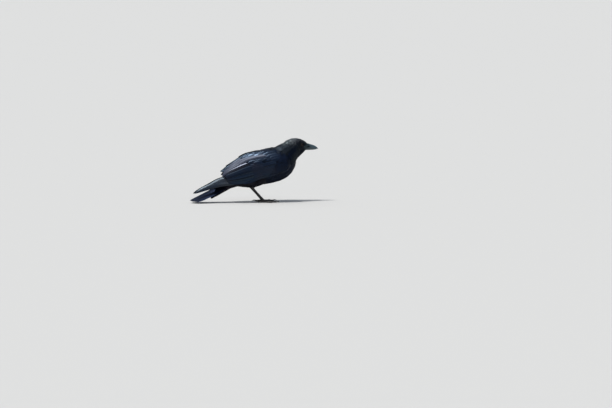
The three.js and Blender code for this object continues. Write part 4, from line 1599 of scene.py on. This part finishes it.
def studio():
    """A wide pale floor under an even sky, with a key lamp above and behind and two weaker ones to fill."""
    sun("key", 205, 67, 12, 3.7, (1, 0.985, 0.96))
    sun("overhead", 130, 66, 75, 0.8, (0.95, 0.98, 1))
    sun("fill", 285, 42, 12, 0.2, (0.93, 0.96, 1))
    world = bpy.data.worlds.new("studio")
    world.use_nodes = True
    tree = world.node_tree
    sky = tree.nodes["Background"]
    sky.inputs["Color"].default_value = (0.66, 0.8, 1.0, 1)
    sky.inputs["Strength"].default_value = 0.24
    # Past the floor's edge the backdrop is as pale as the floor, but it doesn't light the bird.
    backdrop = add(tree, "ShaderNodeBackground", {"Color": (*PALE, 1), "Strength": 1.0}).outputs[0]
    seen = add(tree, "ShaderNodeLightPath").outputs["Is Camera Ray"]
    mixed = add(tree, "ShaderNodeMixShader", {0: seen, 1: sky.outputs[0], 2: backdrop}).outputs[0]
    tree.links.new(mixed, tree.nodes["World Output"].inputs["Surface"])
    bpy.context.scene.world = world
    ring = [(math.cos(a) * 80, math.sin(a) * 80, 0) for a in np.linspace(0, math.tau, 97)[:-1]]
    material, tree, surface = shader("floor", Roughness=0.9, Specular_IOR_Level=0.1)
    surface.inputs["Base Color"].default_value = (0.5, 0.495, 0.485, 1)
    floor = solid("floor", ring, [range(len(ring))], material, smooth=False)


# ---------------------------------------------------------------- every piece in its place

wing_rng = np.random.default_rng(SEED + 10)
ridge_vanes, covert_vanes, inner_vanes = Vanes(), Vanes(), Vanes()
for label, side in SIDES.items():
    coverts(covert_vanes, side, wing_rng)
    scapulars(covert_vanes, side, wing_rng)
    tertials(inner_vanes, side, wing_rng)
    ridge(ridge_vanes, side, wing_rng)
    place_piece(secondaries(side, wing_rng), "flight_feathers")
    place_piece(primaries(side, wing_rng), "flight_feathers", f"wing_{label}_primaries")
rump(covert_vanes, wing_rng)
place_piece(covert_vanes.piece("covert_vanes", COVERT_FEATHER), "plumage")
place_piece(inner_vanes.piece("tertial_vanes", INNER_FEATHER), "flight_feathers")
place_piece(ridge_vanes.piece("shoulder_vanes", FLIGHT_FEATHER), "plumage")
place_piece(tail_feathers(wing_rng), "flight_feathers", "tail")

HORN, LEG_SCALE, CLAW_HORN = horn_finish(), scale_finish(), claw_finish()
upper_bill = place_piece(bill_half("bill_upper_horn", True, HORN), "bill_horn", "bill_upper")
lower_bill = place_piece(bill_half("bill_lower_horn", False, HORN), "bill_horn", "bill_lower")
face_guide = merged_guide("face guide", [form, upper_bill, lower_bill])
for key, roots in bristles(np.random.default_rng(SEED + 20)).items():
    # The bristles' teal-slate finish is a painted reflection of the sky; the lores keep the face's dark
    # finish.
    finish = BRISTLE_FEATHER if key == "bristles" else HEAD_FEATHER
    place_piece(grow(f"coat_{key}", roots, BRISTLE, finish, face_guide), "plumage")
bpy.data.objects.remove(face_guide)
for label, side in SIDES.items():
    place_piece(eyeball(side), "eye", f"eye_{label}")
    place_piece(shin(side, LEG_SCALE), "leg_scales", f"shank_{label}")
    place_piece(toes(side, LEG_SCALE), "leg_scales", f"foot_{label}")
    for toe in TOES:
        place_piece(claw(toe, side, CLAW_HORN), "claw_horn", f"claw_{label}_{toe}")

aim_camera()
studio()
bpy.context.scene.view_settings.view_transform = "Standard"
bpy.data.objects.remove(form)
